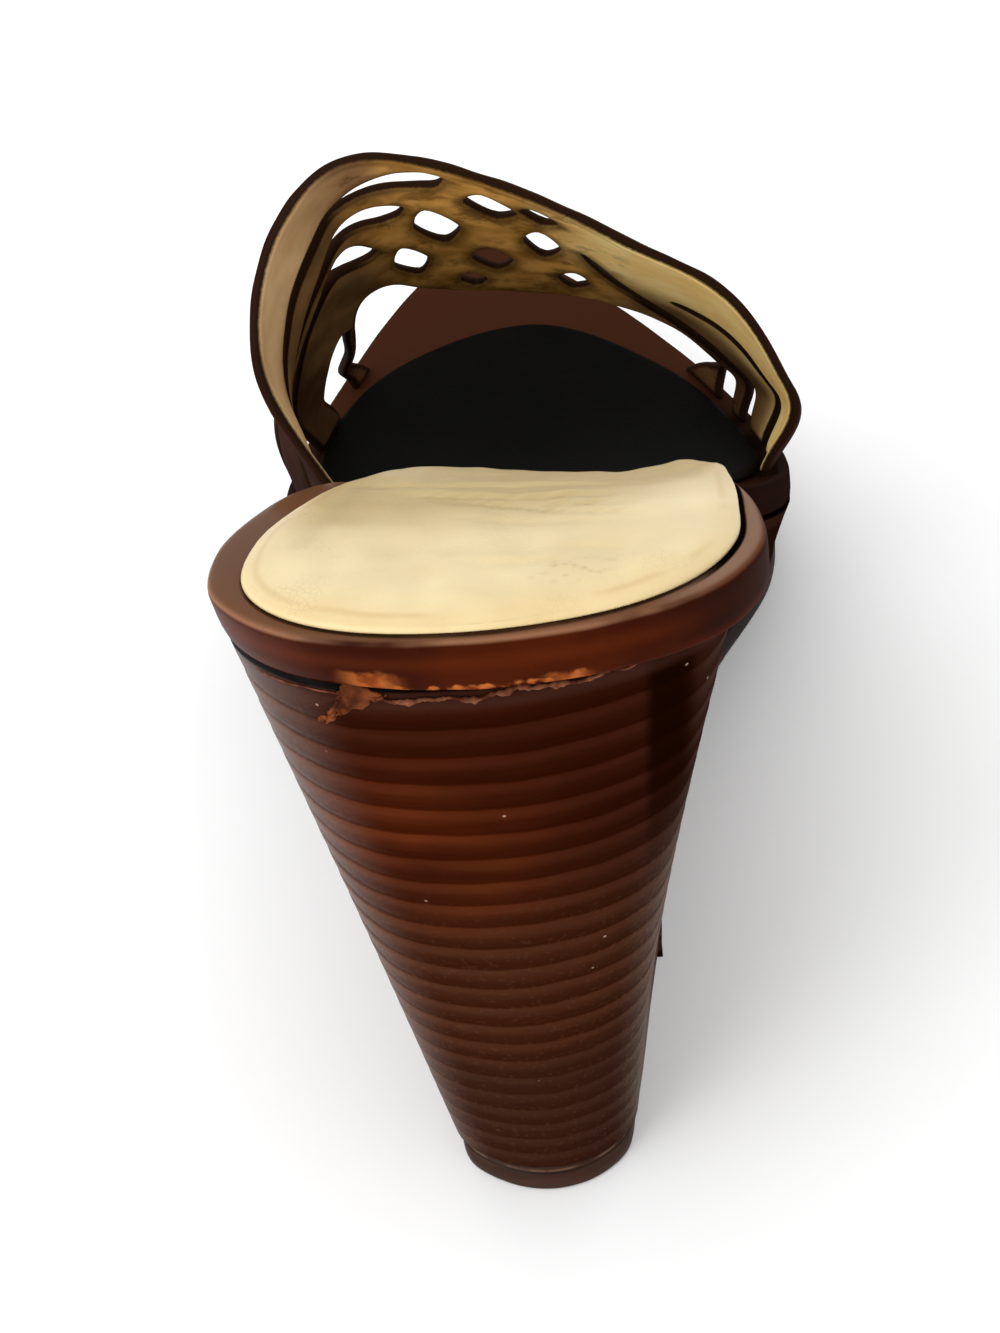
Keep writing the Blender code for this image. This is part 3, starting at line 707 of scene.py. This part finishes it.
def strap_finish():
    """Brown leather outside, suede of several tans inside with its pale outer band partly painted light, soft
    painted shade round the windows, dark rounded edges.
    """
    made = Finish("strap_leather", specular_ior_level=0, coat_weight=0.04, coat_roughness=0.3, coat_ior=1.35)
    inside_face = made.mark("inner")
    edge = made.mark("edge")
    across = made.mark("across")
    rear = made.mark("rear")
    cloud = made.noise(8, 4)
    fine = made.noise(0.6, 3)
    tone = cloud.rise(0.3, 0.7)
    lattice = across.rise(-0.75, -0.3) * across.rise(1.25, 0.8)
    inner_band = across.rise(0.1, -0.25) * rear.rise(12, 9)
    lit_outer_band = across.rise(0.5, 1) * rear.rise(30, 18)
    made.base = tone.mix((98, 72, 42), (130, 98, 60))
    made.stain(lattice, tone.mix((158, 112, 48), (222, 166, 86)))
    dull = tone.mix((140, 104, 68), (162, 124, 84))
    pale = tone.mix((196, 159, 112), (217, 182, 135))
    made.stain(inner_band, across.rise(-0.2, -1.3).mix(dull, pale))
    # Band of lining on the outer side near the rear edge: its very pale colour is partly painted light.
    made.stain(lit_outer_band, tone.mix((250, 206, 128), (255, 226, 152)))
    low_front = rear.rise(26, 40) * across.math("ABSOLUTE").rise(1.3, 1.8)
    made.stain(low_front * 0.8, (60, 36, 22))
    outside = tone.mix((30, 13, 7), (48, 21, 11))
    made.base = inside_face.rise(0.3, 0.7).mix(outside, made.base)
    blotch = made.noise(5.5, 5, rough=0.65).rise(0.5, 0.66) * lattice * inside_face
    made.stain(blotch * 0.6, (78, 50, 20))
    # Painted shade round the windows of the lattice.
    made.stain(edge.rise(3, 1) * lattice * 0.5, (58, 40, 20))
    uneven = edge + fine * 0.15
    wide = uneven.rise(1.5, 0.7) * rear.rise(1.6, 3) * (1 - lattice * 0.6)
    rim = uneven.rise(0.6, 0.25).math("MAXIMUM", wide)
    made.stain(rim, (36, 21, 12))
    return made.done(fine + cloud, 0.08, roughness=0.42 + inside_face * 0.4 - rim * 0.25)


def plain_finish(name, dark, light, size, relief, stretch=(1, 1, 1), **settings):
    """Clouded between two tones."""
    made = Finish(name, **settings)
    cloud = made.noise(size, 4, stretch)
    made.base = cloud.rise(0.3, 0.7).mix(dark, light)
    return made.done(cloud, relief)


def lift_finish():
    """Matt brown heel piece, a dark line and a broken pale line along its upper edge."""
    made = Finish("lift_rubber", roughness=0.5, specular_ior_level=0.1)
    cloud = made.noise(3, 4, (3, 3, 0.5))
    made.base = cloud.rise(0.3, 0.7).mix((42, 22, 13), (58, 34, 22))
    pale = (made.z + cloud * 0.4).bell(4.35, 0.35) * made.noise(4, 3).rise(0.45, 0.6)
    made.stain(pale * 0.4, (134, 100, 80))
    made.stain(made.z.bell(3.6, 0.3), (18, 11, 9))
    return made.done(cloud, 0.08)


class WedgeSides:
    """Ruled sides of the wedge from the outline on the ground to the outline under the rim."""

    def __init__(self, columns):
        self.rim = whole(RIM, columns)
        self.low = whole(GROUND, columns)
        outwards = np.clip(self.rim[:, 0] / SIDE_WIDTH, 0, 1)
        under_heel = np.clip((HEEL_FRONT - self.rim[:, 1]) / HEEL_FADE, 0, 1)
        overhang = INNER_OVERHANG + (OUTER_OVERHANG - INNER_OVERHANG) * outwards
        self.high = inset(self.rim, overhang * under_heel)
        on_outer = np.arange(len(self.rim)) >= columns
        side = np.where(self.rim[:, 1] < LENGTH / 2, eased(self.rim[:, 0] / SIDE_WIDTH + 0.5), on_outer)
        self.curve = INNER_CURVE + (OUTER_CURVE - INNER_CURVE) * side
        self.high_z = rim_top(self.high[:, 0], self.high[:, 1]) - RIM_HEIGHT - JOIN_GAP
        self.low_z = toe_spring(self.low[:, 1]) + SOLE_THICKNESS + JOIN_GAP

    def plan(self, z):
        """Outline at a height, or at a height for each point: forward straight between the outlines below
        and above, sideways with the height's share raised to a power."""
        h = (z - self.low_z) / (self.high_z - self.low_z)
        return self.low + (self.high - self.low) * np.stack([h ** self.curve, h], -1)

    def back(self, x, z):
        """Distance forward of the back of the wedge at places across and heights."""
        heights = np.linspace(BACK_LOW, BACK_HIGH, 12)
        table = []
        for height in heights:
            loop = self.plan(np.clip(height, self.low_z, self.high_z))
            loop = loop[loop[:, 1] < BACK_DEPTH]
            loop = loop[np.argsort(loop[:, 0])]
            table.append(np.interp(x.ravel(), loop[:, 0], loop[:, 1]))
        table = np.array(table)
        step = heights[1] - heights[0]
        i = np.clip(((z.ravel() - BACK_LOW) / step).astype(int), 0, len(heights) - 2)
        t = (z.ravel() - heights[i]) / step
        every = np.arange(x.size)
        return (table[i, every] * (1 - t) + table[i + 1, every] * t).reshape(x.shape)


def wedge_surface(columns=120):
    """Ruled sides in layers that grow thicker upwards. In each layer the face leans out from a groove at its
    foot to a rounded lip above its middle, the depth and the tone of each row read from a table, the tone
    being painted light and shade. The relief is worn shallow towards the ground."""
    sides = WedgeSides(columns)
    lowest = sides.low_z.min()
    share, depth, tone = np.tile(LAYER_PROFILE, (LAYERS, 1)).T
    count = np.repeat(np.arange(LAYERS), len(LAYER_PROFILE)) + share
    z = lowest + LOW_LAYER * count + (HIGH_LAYER - LOW_LAYER) * count ** 2 / (2 * LAYERS)
    z = np.append(z, sides.high_z.max() + 1)[:, None]
    depth = np.append(depth, 0.0)[:, None]
    tone = np.append(tone, 0.0)[:, None]
    x, y = sides.rim.T
    z = z + LAYER_WAVE * ripple(x + 0.4 * z, y - 0.7 * z, 3)
    here = np.clip(z, sides.low_z, sides.high_z)
    free = np.clip((here - sides.low_z) / 1.2, 0, 1) * np.clip(sides.high_z - here, 0, 1)
    kept = 0.4 + 0.6 * eased((here - WORN_BELOW) / WORN_FADE)
    deep = depth * free * kept * (0.8 + 0.3 * ripple(x - 0.6 * z, y + 0.5 * z, 5))
    rows = np.stack([level(inset(sides.plan(here[k]), deep[k]), here[k]) for k in range(len(z))])
    along = np.roll(sides.rim, -1, 0) - np.roll(sides.rim, 1, 0)
    inner_side = along[:, 1] / np.maximum(np.linalg.norm(along, axis=1), 1e-6)
    marks = {
        "tone": np.broadcast_to(tone, here.shape).ravel(),
        "below": (sides.high_z - here).ravel(),
        "inner_side": np.broadcast_to(inner_side, here.shape).ravel(),
    }
    return *loft(rows), marks


def sheet(points):
    """Points and faces of a grid of points."""
    number = np.arange(points[..., 0].size).reshape(points.shape[:2])
    return points.reshape(-1, 3), quads(number)


def torn_flap(sides, count=26):
    """A torn three-cornered flap: its top edge under the rim, its tip low, straight lines between, lifting
    off the wedge towards the tip, with uneven edges."""
    s, t = np.meshgrid(np.linspace(0, 1, count), np.linspace(0, 1, count), indexing="ij")
    x, z = ((start + (end - start) * s) * (1 - t) + (tip + (s - 0.5) * FLAP_TIP) * t
            for start, end, tip in FLAP.T)
    edge = FLAP_WAVE * (4 * (s - 0.5) ** 2 + 0.3)
    x = x + edge * ripple(7 * s + t, 9 * t, 41, longest=6.0, shortest=0.8)
    z = z + edge * ripple(7 * s, 9 * t + s, 42, longest=6.0, shortest=0.8)
    away = 0.35 + t * t + 0.25 * np.sin(3.1 * s) * np.sin(3.1 * t)
    return sheet(np.stack([x, sides.back(x, z) - away, z], -1))


def frayed_edge(sides, count=300, around=8):
    """A ragged cord along the wedge's top edge behind the heel: circles of uneven radius along a path."""
    x = np.linspace(FRAY_START, FRAY_END, count)
    behind = sides.high[:, 1] < BACK_DEPTH
    loop = sides.high[behind]
    order = np.argsort(loop[:, 0])
    top = np.interp(x, loop[order, 0], sides.high_z[behind][order])
    torn = eased((x - TEAR_START) / TEAR_FADE)
    z = top - 1.0 - 0.35 * torn + 0.3 * ripple(x, 0 * x, 43, longest=14.0, shortest=1.2) * (0.4 + torn)
    ragged = np.abs(ripple(x, 3 + 0 * x, 44, count=14, longest=8.0, shortest=0.7))
    ends = np.sqrt(np.clip(np.minimum(x - FRAY_START, FRAY_END - x), 0, 1))
    radius = (0.1 + (0.04 + 0.2 * ragged) * torn) * ends
    y = sides.back(x, z) - 0.1 - 0.15 * torn
    turn = np.linspace(0, 2 * np.pi, around + 1)
    x, y, z, radius = (values[:, None] for values in (x, y, z, radius))
    return sheet(np.stack([x + 0 * turn, y - radius * np.cos(turn), z + radius * np.sin(turn)], -1))


def platform_surface(columns=140, across=110):
    """Footbed board: sides that lean in downwards on the inner side of the heel, a quarter round upper edge
    and a hollowed top."""
    edge = whole(RIM, columns, across)
    turn = np.linspace(0, np.pi / 2, 9)
    profile = [*RIM_SIDE, *zip(RIM_BEND * (1 - np.sin(turn)), RIM_BEND * (1 - np.cos(turn)))]
    lean = RIM_LEAN * eased(-edge[:, 0] / SIDE_WIDTH) * eased((HEEL_FRONT - edge[:, 1]) / HEEL_FADE)
    rows = []
    down = []
    for drop, straight in profile:
        inwards = straight + lean * drop / RIM_HEIGHT
        loop = inset(edge, inwards)
        uneven = RIM_WAVE * ripple(loop[:, 0], loop[:, 1], 11) * min(1.0, drop)
        rows.append(level(inset(edge, inwards + uneven), rim_top(loop[:, 0], loop[:, 1]) - drop))
        down.append(np.full(len(loop), drop))
    points, faces = loft(np.array(rows), across, footbed)
    drop = np.concatenate([*down, np.zeros(len(points) - len(down) * len(edge))])
    return points, faces, {"down": drop, "beside": pad_edge(points[:, 0], points[:, 1])}


def crease_depth(x, y):
    """Depth of the pad's creases: for each, a bowed line with a soft trough beside a slight ridge."""
    total = np.zeros(np.shape(x))
    for ax, ay, bx, by, bow, depth, width in PAD_CREASES:
        long = np.hypot(bx - ax, by - ay)
        along = ((x - ax) * (bx - ax) + (y - ay) * (by - ay)) / long
        aside = ((y - ay) * (bx - ax) - (x - ax) * (by - ay)) / long
        t = np.clip(along / long, 0, 1)
        off = aside - bow * 4 * t * (1 - t)
        fade = eased((np.minimum(along, long - along) + CREASE_END) / CREASE_FADE)
        trough = hump(off, 0, width) - 0.55 * hump(off, 1.9 * width, 1.4 * width)
        total += depth * fade * trough
    return total


def pad_edge(x, y):
    """Distance in plan from the pad's outline."""
    places = np.stack([np.ravel(x), np.ravel(y)], -1)
    return nearest(whole(HEEL_SOCK, 300, 60, to_end=False), places).reshape(np.shape(x))


def pad_top(x, y):
    """Height of the pad: the footbed and a thickness that grows from its thin edge, with a swell and two
    dips at the front as bells across, less the creases."""
    ahead = np.clip((y - 36) / 30, 0, 1)
    swell = ahead * (0.9 * hump(x, -7, 8) - 0.7 * hump(x, 9, 7))
    swell = swell - 1.7 * eased((y - 30) / 18) * hump(x, 19, 8)
    puff = 0.3 + 0.22 * ripple(x, y, 21, longest=34.0, shortest=5.0)
    soft = 2.6 - 2.2 * eased((x - 6) / 10) * eased((y - 24) / 16)
    full = 1 - np.exp(-pad_edge(x, y) / soft)
    thick = np.maximum(SOCK_THICKNESS - PAD_EDGE + puff + swell - crease_depth(x, y), -0.6 * PAD_EDGE)
    return footbed(x, y) + JOIN_GAP + PAD_EDGE + thick * full


def sock_surface(table, columns, across, top, roll, **ends):
    """A pad on the footbed: straight foot, rolled upper edge as a quarter ellipse, then its top."""
    edge = whole(table, columns, across, **ends)
    rows = [level(edge, footbed(edge[:, 0], edge[:, 1]) + JOIN_GAP)]
    for angle in np.linspace(0, np.pi / 2, 9):
        loop = inset(edge, roll * (1 - np.cos(angle)))
        floor = footbed(loop[:, 0], loop[:, 1]) + JOIN_GAP
        crest = top(loop[:, 0], loop[:, 1])
        rows.append(level(loop, floor + (crest - floor) * (0.3 + 0.7 * np.sin(angle))))
    return loft(np.array(rows), across, top, lambda x, y: footbed(x, y) + JOIN_GAP)


def pad_surface():
    """The heel pad, marked with its creases and the distance from its edge."""
    points, faces = sock_surface(HEEL_SOCK, 110, 80, pad_top, PAD_ROLL, to_end=False)
    x, y = points[:, 0], points[:, 1]
    return points, faces, {"crease": crease_depth(x, y), "rolled": pad_edge(x, y)}


def under_sole(y, top, narrower=0.0):
    """A flat sheet under the wedge with a softened lower edge."""
    edge = inset(outline(GROUND, y), narrower) - (0.0, narrower)
    rows = []
    for angle in np.linspace(0, np.pi / 2, 5):
        loop = inset(edge, SOLE_EDGE * (1 - np.sin(angle)))
        rows.append(level(loop, tread(loop[:, 1]) + SOLE_EDGE * (1 - np.cos(angle))))
    rows.append(level(edge, top(edge[:, 1])))
    return loft(np.array(rows))


def upper_face(across, y):
    """Outer face of the upper: a cubic section through seven knots, carried along the foot, swollen by a sine
    squared at the outer haunch and flared inwards behind the inner edge."""
    behind = y - read(TOPLINE, 1, across)
    inner = -(half_width(RIM, 1, y) - STRAP_INSET - INNER_INSET * eased(behind / FLARE_LENGTH))
    outer = half_width(RIM, 2, y) - STRAP_INSET
    column = [read(SECTIONS, k, y) for k in range(1, SECTIONS.shape[1])]
    x = np.stack([inner, *column[0::2], outer])
    z = np.stack([rim_top(inner, y) + JOIN_GAP, *column[1::2], rim_top(outer, y) + JOIN_GAP])
    i = np.clip(np.floor(across).astype(int) + KNOTS // 2, 0, KNOTS - 2)
    t = across + KNOTS // 2 - i
    place = np.arange(len(y))

    def through(knots):
        start, end = knots[i, place], knots[i + 1, place]
        before = knots[np.maximum(i - 1, 0), place]
        after = knots[np.minimum(i + 2, KNOTS - 1), place]
        lean_in = np.where(i > 0, (end - before) / 2, end - start)
        lean_out = np.where(i < KNOTS - 2, (after - start) / 2, end - start)
        return ((1 + 2 * t) * (1 - t) ** 2 * start + t * (1 - t) ** 2 * lean_in
                + t * t * (3 - 2 * t) * end + t * t * (t - 1) * lean_out)

    haunch = np.where((across > 1) & (across < 2), np.sin(np.pi * across) ** 2, 0.0)
    haunch = haunch * np.clip((HAUNCH_FRONT - y) / HAUNCH_LENGTH, 0, 1)
    flare = eased(behind / FLARE_LENGTH) * eased((FLARE_FRONT - behind) / FLARE_FADE)
    flare = flare * eased(-across / 0.7 - 0.7) * eased((across + 3) / 0.7)
    x = through(x) + HAUNCH_OUT * haunch + FLARE * flare
    return np.stack([x, y, through(z) + HAUNCH_UP * haunch], -1)


def slit_outline(rows, finer=14):
    """Closed outline of a slit: there and back beside a smooth centre line at its half width."""
    table = np.array(rows)
    t = np.linspace(0, 1, finer * (len(table) - 1) + 1) * (len(table) - 1)
    at = np.arange(len(table), dtype=float)
    across, y, half = (smooth(at, table[:, k], t) for k in range(3))
    there = np.stack([across, y - half], -1)
    back = np.stack([across, y + half], -1)
    return np.concatenate([there, back[::-1]])


def window_outline(across, y, wide, long, count=44):
    """Closed outline of a window: an ellipse with a power below 2, between a diamond and a round."""
    turn = np.linspace(0, 2 * np.pi, count, endpoint=False)
    c, s = np.cos(turn), np.sin(turn)
    size = (np.abs(c) ** WINDOW_SHAPE + np.abs(s) ** WINDOW_SHAPE) ** (-1 / WINDOW_SHAPE)
    return np.stack([across + wide * size * c, y + long * size * s], -1)


def inside(loop, points):
    """Which points lie inside a closed outline: a line to the right crosses it an odd number of times."""
    ax, ay = loop[:, 0], loop[:, 1]
    bx, by = np.roll(ax, -1), np.roll(ay, -1)
    px, py = points[:, :1], points[:, 1:]
    crossing = (ay > py) != (by > py)
    rise = np.where(by == ay, 1.0, by - ay)
    return (crossing & (px < (bx - ax) * (py - ay) / rise + ax)).sum(1) % 2 == 1


def nearest(places, points):
    """Distance from each point to the nearest of the places."""
    blocks = []
    for block in np.array_split(points, max(1, len(points) // 3000)):
        square = (block ** 2).sum(1)[:, None] + (places ** 2).sum(1) - 2 * block @ places.T
        blocks.append(np.sqrt(np.maximum(square.min(1), 0.0)))
    return np.concatenate(blocks)


def strap_surface(cell=1.5, rings=(0.3, 0.7, 1.25)):
    """The upper cut flat with its slits and windows, bent over the foot as two faces with round edges.

    At a distance d from an edge each face lies half a wall times sqrt(1 - (1 - d / r)^2) from the middle
    of the leather, r the edge's radius, and swells a little further in.
    """
    scale = np.array([KNOT_LENGTH, 1.0])
    spread = np.linspace(-3, 3, 361)
    rear = np.stack([spread, read(TOPLINE, 1, spread)], -1)
    front = np.stack([spread, read(FRONT, 1, spread)], -1)
    steps = np.linspace(0, 1, 91)[1:-1, None]
    outer_foot = rear[-1] + (front[-1] - rear[-1]) * steps
    inner_foot = front[0] + (rear[0] - front[0]) * steps
    border = np.concatenate([rear, outer_foot, front[::-1], inner_foot]) * scale
    holes = [slit_outline(rows) * scale for rows in SLITS] + [window_outline(*row) * scale for row in WINDOWS]
    loops = [border, *holes]
    everywhere = np.concatenate(loops)

    def solid(points):
        keep = inside(border, points)
        for loop in holes:
            keep &= ~inside(loop, points)
        return keep

    added = []
    for number, ring in enumerate(rings):
        rails = [inset(loop, side * ring)[::1 + number // 2] for loop in loops for side in (-1, 1)]
        around = np.concatenate(rails)
        around = around[solid(around)]
        added.append(around[nearest(everywhere, around) > 0.86 * ring])
    grid = np.stack(np.meshgrid(np.arange(-3, 3, cell / KNOT_LENGTH) * KNOT_LENGTH,
                                np.arange(100, 200, cell)), -1).reshape(-1, 2)
    grid[:, 0] += (np.round(grid[:, 1] / cell) % 2) * cell / 2
    grid = grid[solid(grid)]
    added.append(grid[nearest(everywhere, grid) > rings[-1] + 0.6 * cell])
    edges = []
    start = 0
    for loop in loops:
        ring = start + np.arange(len(loop))
        edges += np.stack([ring, np.roll(ring, -1)], -1).tolist()
        start += len(loop)
    verts = [Vector(p) for p in np.concatenate([everywhere, *added]).tolist()]
    spots, _, faces, *_ = delaunay_2d_cdt(verts, edges, [], 0, 1e-4)
    spots = np.array([*map(tuple, spots)])
    faces = np.array([*map(tuple, faces)])
    faces = faces[solid(spots[faces].mean(1))]
    used, faces = np.unique(faces, return_inverse=True)
    faces = faces.reshape(-1, 3)
    across, y = (spots[used] / scale).T
    face = upper_face(across, y)
    step = 0.02
    wide = upper_face(np.minimum(across + step, 3), y) - upper_face(np.maximum(across - step, -3), y)
    long = upper_face(across, y + step) - upper_face(across, y - step)
    out = np.cross(wide, long)
    out /= np.linalg.norm(out, axis=1, keepdims=True)
    out[out[:, 2] < -0.6] *= -1
    sides = np.sort(np.concatenate([faces[:, [0, 1]], faces[:, [1, 2]], faces[:, [2, 0]]]), 1)
    pairs, times = np.unique(sides, axis=0, return_counts=True)
    at_edge = np.zeros(len(used), bool)
    at_edge[pairs[times == 1]] = True
    edge = nearest(face[at_edge], face)
    edge[at_edge] = 0.0
    radius = WALL / 2
    share = np.minimum(edge / radius, 1)
    half = radius * np.sqrt(1 - (1 - share) ** 2)
    uneven = ripple(face[:, 0], face[:, 1] + face[:, 2], 31, longest=30.0)
    swell = EDGE_SWELL * (1 - np.exp(-edge / SWELL_FADE)) + SWELL_WAVE * uneven
    swell = swell * share
    middle = face - out * radius
    outer = middle + out * (half + swell)[:, None]
    inner = middle - out * (half + 0.6 * swell)[:, None]
    marks = {
        "inner": np.concatenate([np.where(at_edge, 0.5, 0.0), np.where(at_edge, 0.5, 1.0)]),
        "edge": np.tile(edge, 2),
        "across": np.tile(across, 2),
        "rear": np.tile(y - read(TOPLINE, 1, across), 2),
    }
    total = len(face)
    twin = np.where(at_edge, np.arange(total), np.arange(total) + total)
    return np.concatenate([outer, inner]), np.concatenate([faces, twin[faces][:, ::-1]]), marks


lift = under_sole(stations(GROUND[0, 0], LIFT_FRONT, 60, to_end=False),
                  lambda y: np.full_like(y, SOLE_THICKNESS), LIFT_INSET)
piece("heel_lift_piece", lift, lift_finish(), "heel_lift")
sole = under_sole(stations(SOLE_BACK, GROUND[-1, 0], 110, from_end=False),
                  lambda y: toe_spring(y) + SOLE_THICKNESS)
rubber = plain_finish("sole_rubber", (24, 19, 17), (38, 28, 24), 3.0, 0.08,
                      stretch=(3.0, 3.0, 0.5), roughness=0.5, specular_ior_level=0.1)
piece("outsole_sheet", sole, rubber, "outsole")
piece("wedge_leather", wedge_surface(), stacked_finish(), "wedge")
sides = WedgeSides(200)
raw = plain_finish("raw_leather", (58, 24, 8), (116, 60, 30), 2.4, 0.2,
                   roughness=0.75, specular_ior_level=0.05)
flap = piece("torn_flap", torn_flap(sides), raw, "wedge")
thick = flap.modifiers.new("thickness", "SOLIDIFY")
thick.thickness = FLAP_THICKNESS * METRE_PER_MM
pale = plain_finish("frayed_leather", (66, 30, 16), (126, 76, 52), 1.6, 0.1,
                    roughness=0.8, specular_ior_level=0.05)
piece("frayed_edge", frayed_edge(sides), pale, "wedge")
piece("platform_leather", platform_surface(), wrapped_finish(), "platform")
pad = piece("heel_pad", pad_surface(), gold_finish(), "heel_sock")
sock = sock_surface(FORE_SOCK, 80, 40, lambda x, y: footbed(x, y) + JOIN_GAP + SOCK_THICKNESS, SOCK_ROLL,
                    from_end=False)
piece("forefoot_sock_leather", sock, sock_finish(), "forefoot_sock")
piece("strap_leather_upper", strap_surface(), strap_finish(), "strap_upper")


def floor():
    """Plain pale floor."""
    half = 3.0
    pale = 0.92
    mesh = bpy.data.meshes.new("floor")
    corners = [(-half, -half, 0), (half, -half, 0), (half, half, 0), (-half, half, 0)]
    mesh.from_pydata(corners, [], [(0, 1, 2, 3)])
    paint = Finish("floor_paint", base_color=(pale, pale, pale, 1.0), roughness=0.6)
    mesh.materials.append(paint.material)
    ground = placed("floor", mesh)


def light(name, place, target, size, power):
    """A soft square lamp aimed at a point."""
    lamp = bpy.data.lights.new(name, "AREA")
    lamp.shape = "SQUARE"
    lamp.size = size
    lamp.energy = power
    made = placed(name, lamp)
    made.location = place
    made.rotation_euler = (Vector(target) - Vector(place)).to_track_quat("-Z", "Y").to_euler()


def world(strength):
    """Even light from all round."""
    made = bpy.data.worlds.new("room")
    made.use_nodes = True
    inputs = made.node_tree.nodes["Background"].inputs
    inputs["Color"].default_value = (1.0, 1.0, 1.0, 1.0)
    inputs["Strength"].default_value = strength
    bpy.context.scene.world = made


def camera(place, ahead, upwards, lens):
    """Camera at a place looking ahead, rolled so that upwards is up in the picture."""
    ahead = Vector(ahead).normalized()
    right = ahead.cross(Vector(upwards)).normalized()
    above = right.cross(ahead)
    data = bpy.data.cameras.new("camera")
    data.sensor_fit = "HORIZONTAL"
    data.sensor_width = 36.0
    data.lens = lens
    data.clip_start = 0.01
    made = placed("camera", data)
    turn = Matrix((right, above, -ahead)).transposed()
    made.matrix_world = Matrix.Translation(place) @ turn.to_4x4()
    bpy.context.scene.camera = made


floor()
light("window", (-1.1, -0.75, 1.35), (0.0, 0.0, 0.03), size=1.2, power=7.0)
light("ceiling", (0.0, 0.1, 1.9), (0.0, 0.1, 0.0), size=1.8, power=6.0)
light("fill", (-0.6, -0.7, 0.38), (0.0, 0.0, 0.06), size=0.5, power=3.1)
world(strength=0.98)
camera(place=(0.00994, -0.28484, 0.24025), ahead=(-0.04903, 0.77313, -0.63235),
       upwards=(0.09287, 0.64505, 0.75854), lens=80.5)
bpy.context.scene.view_settings.view_transform = "Standard"
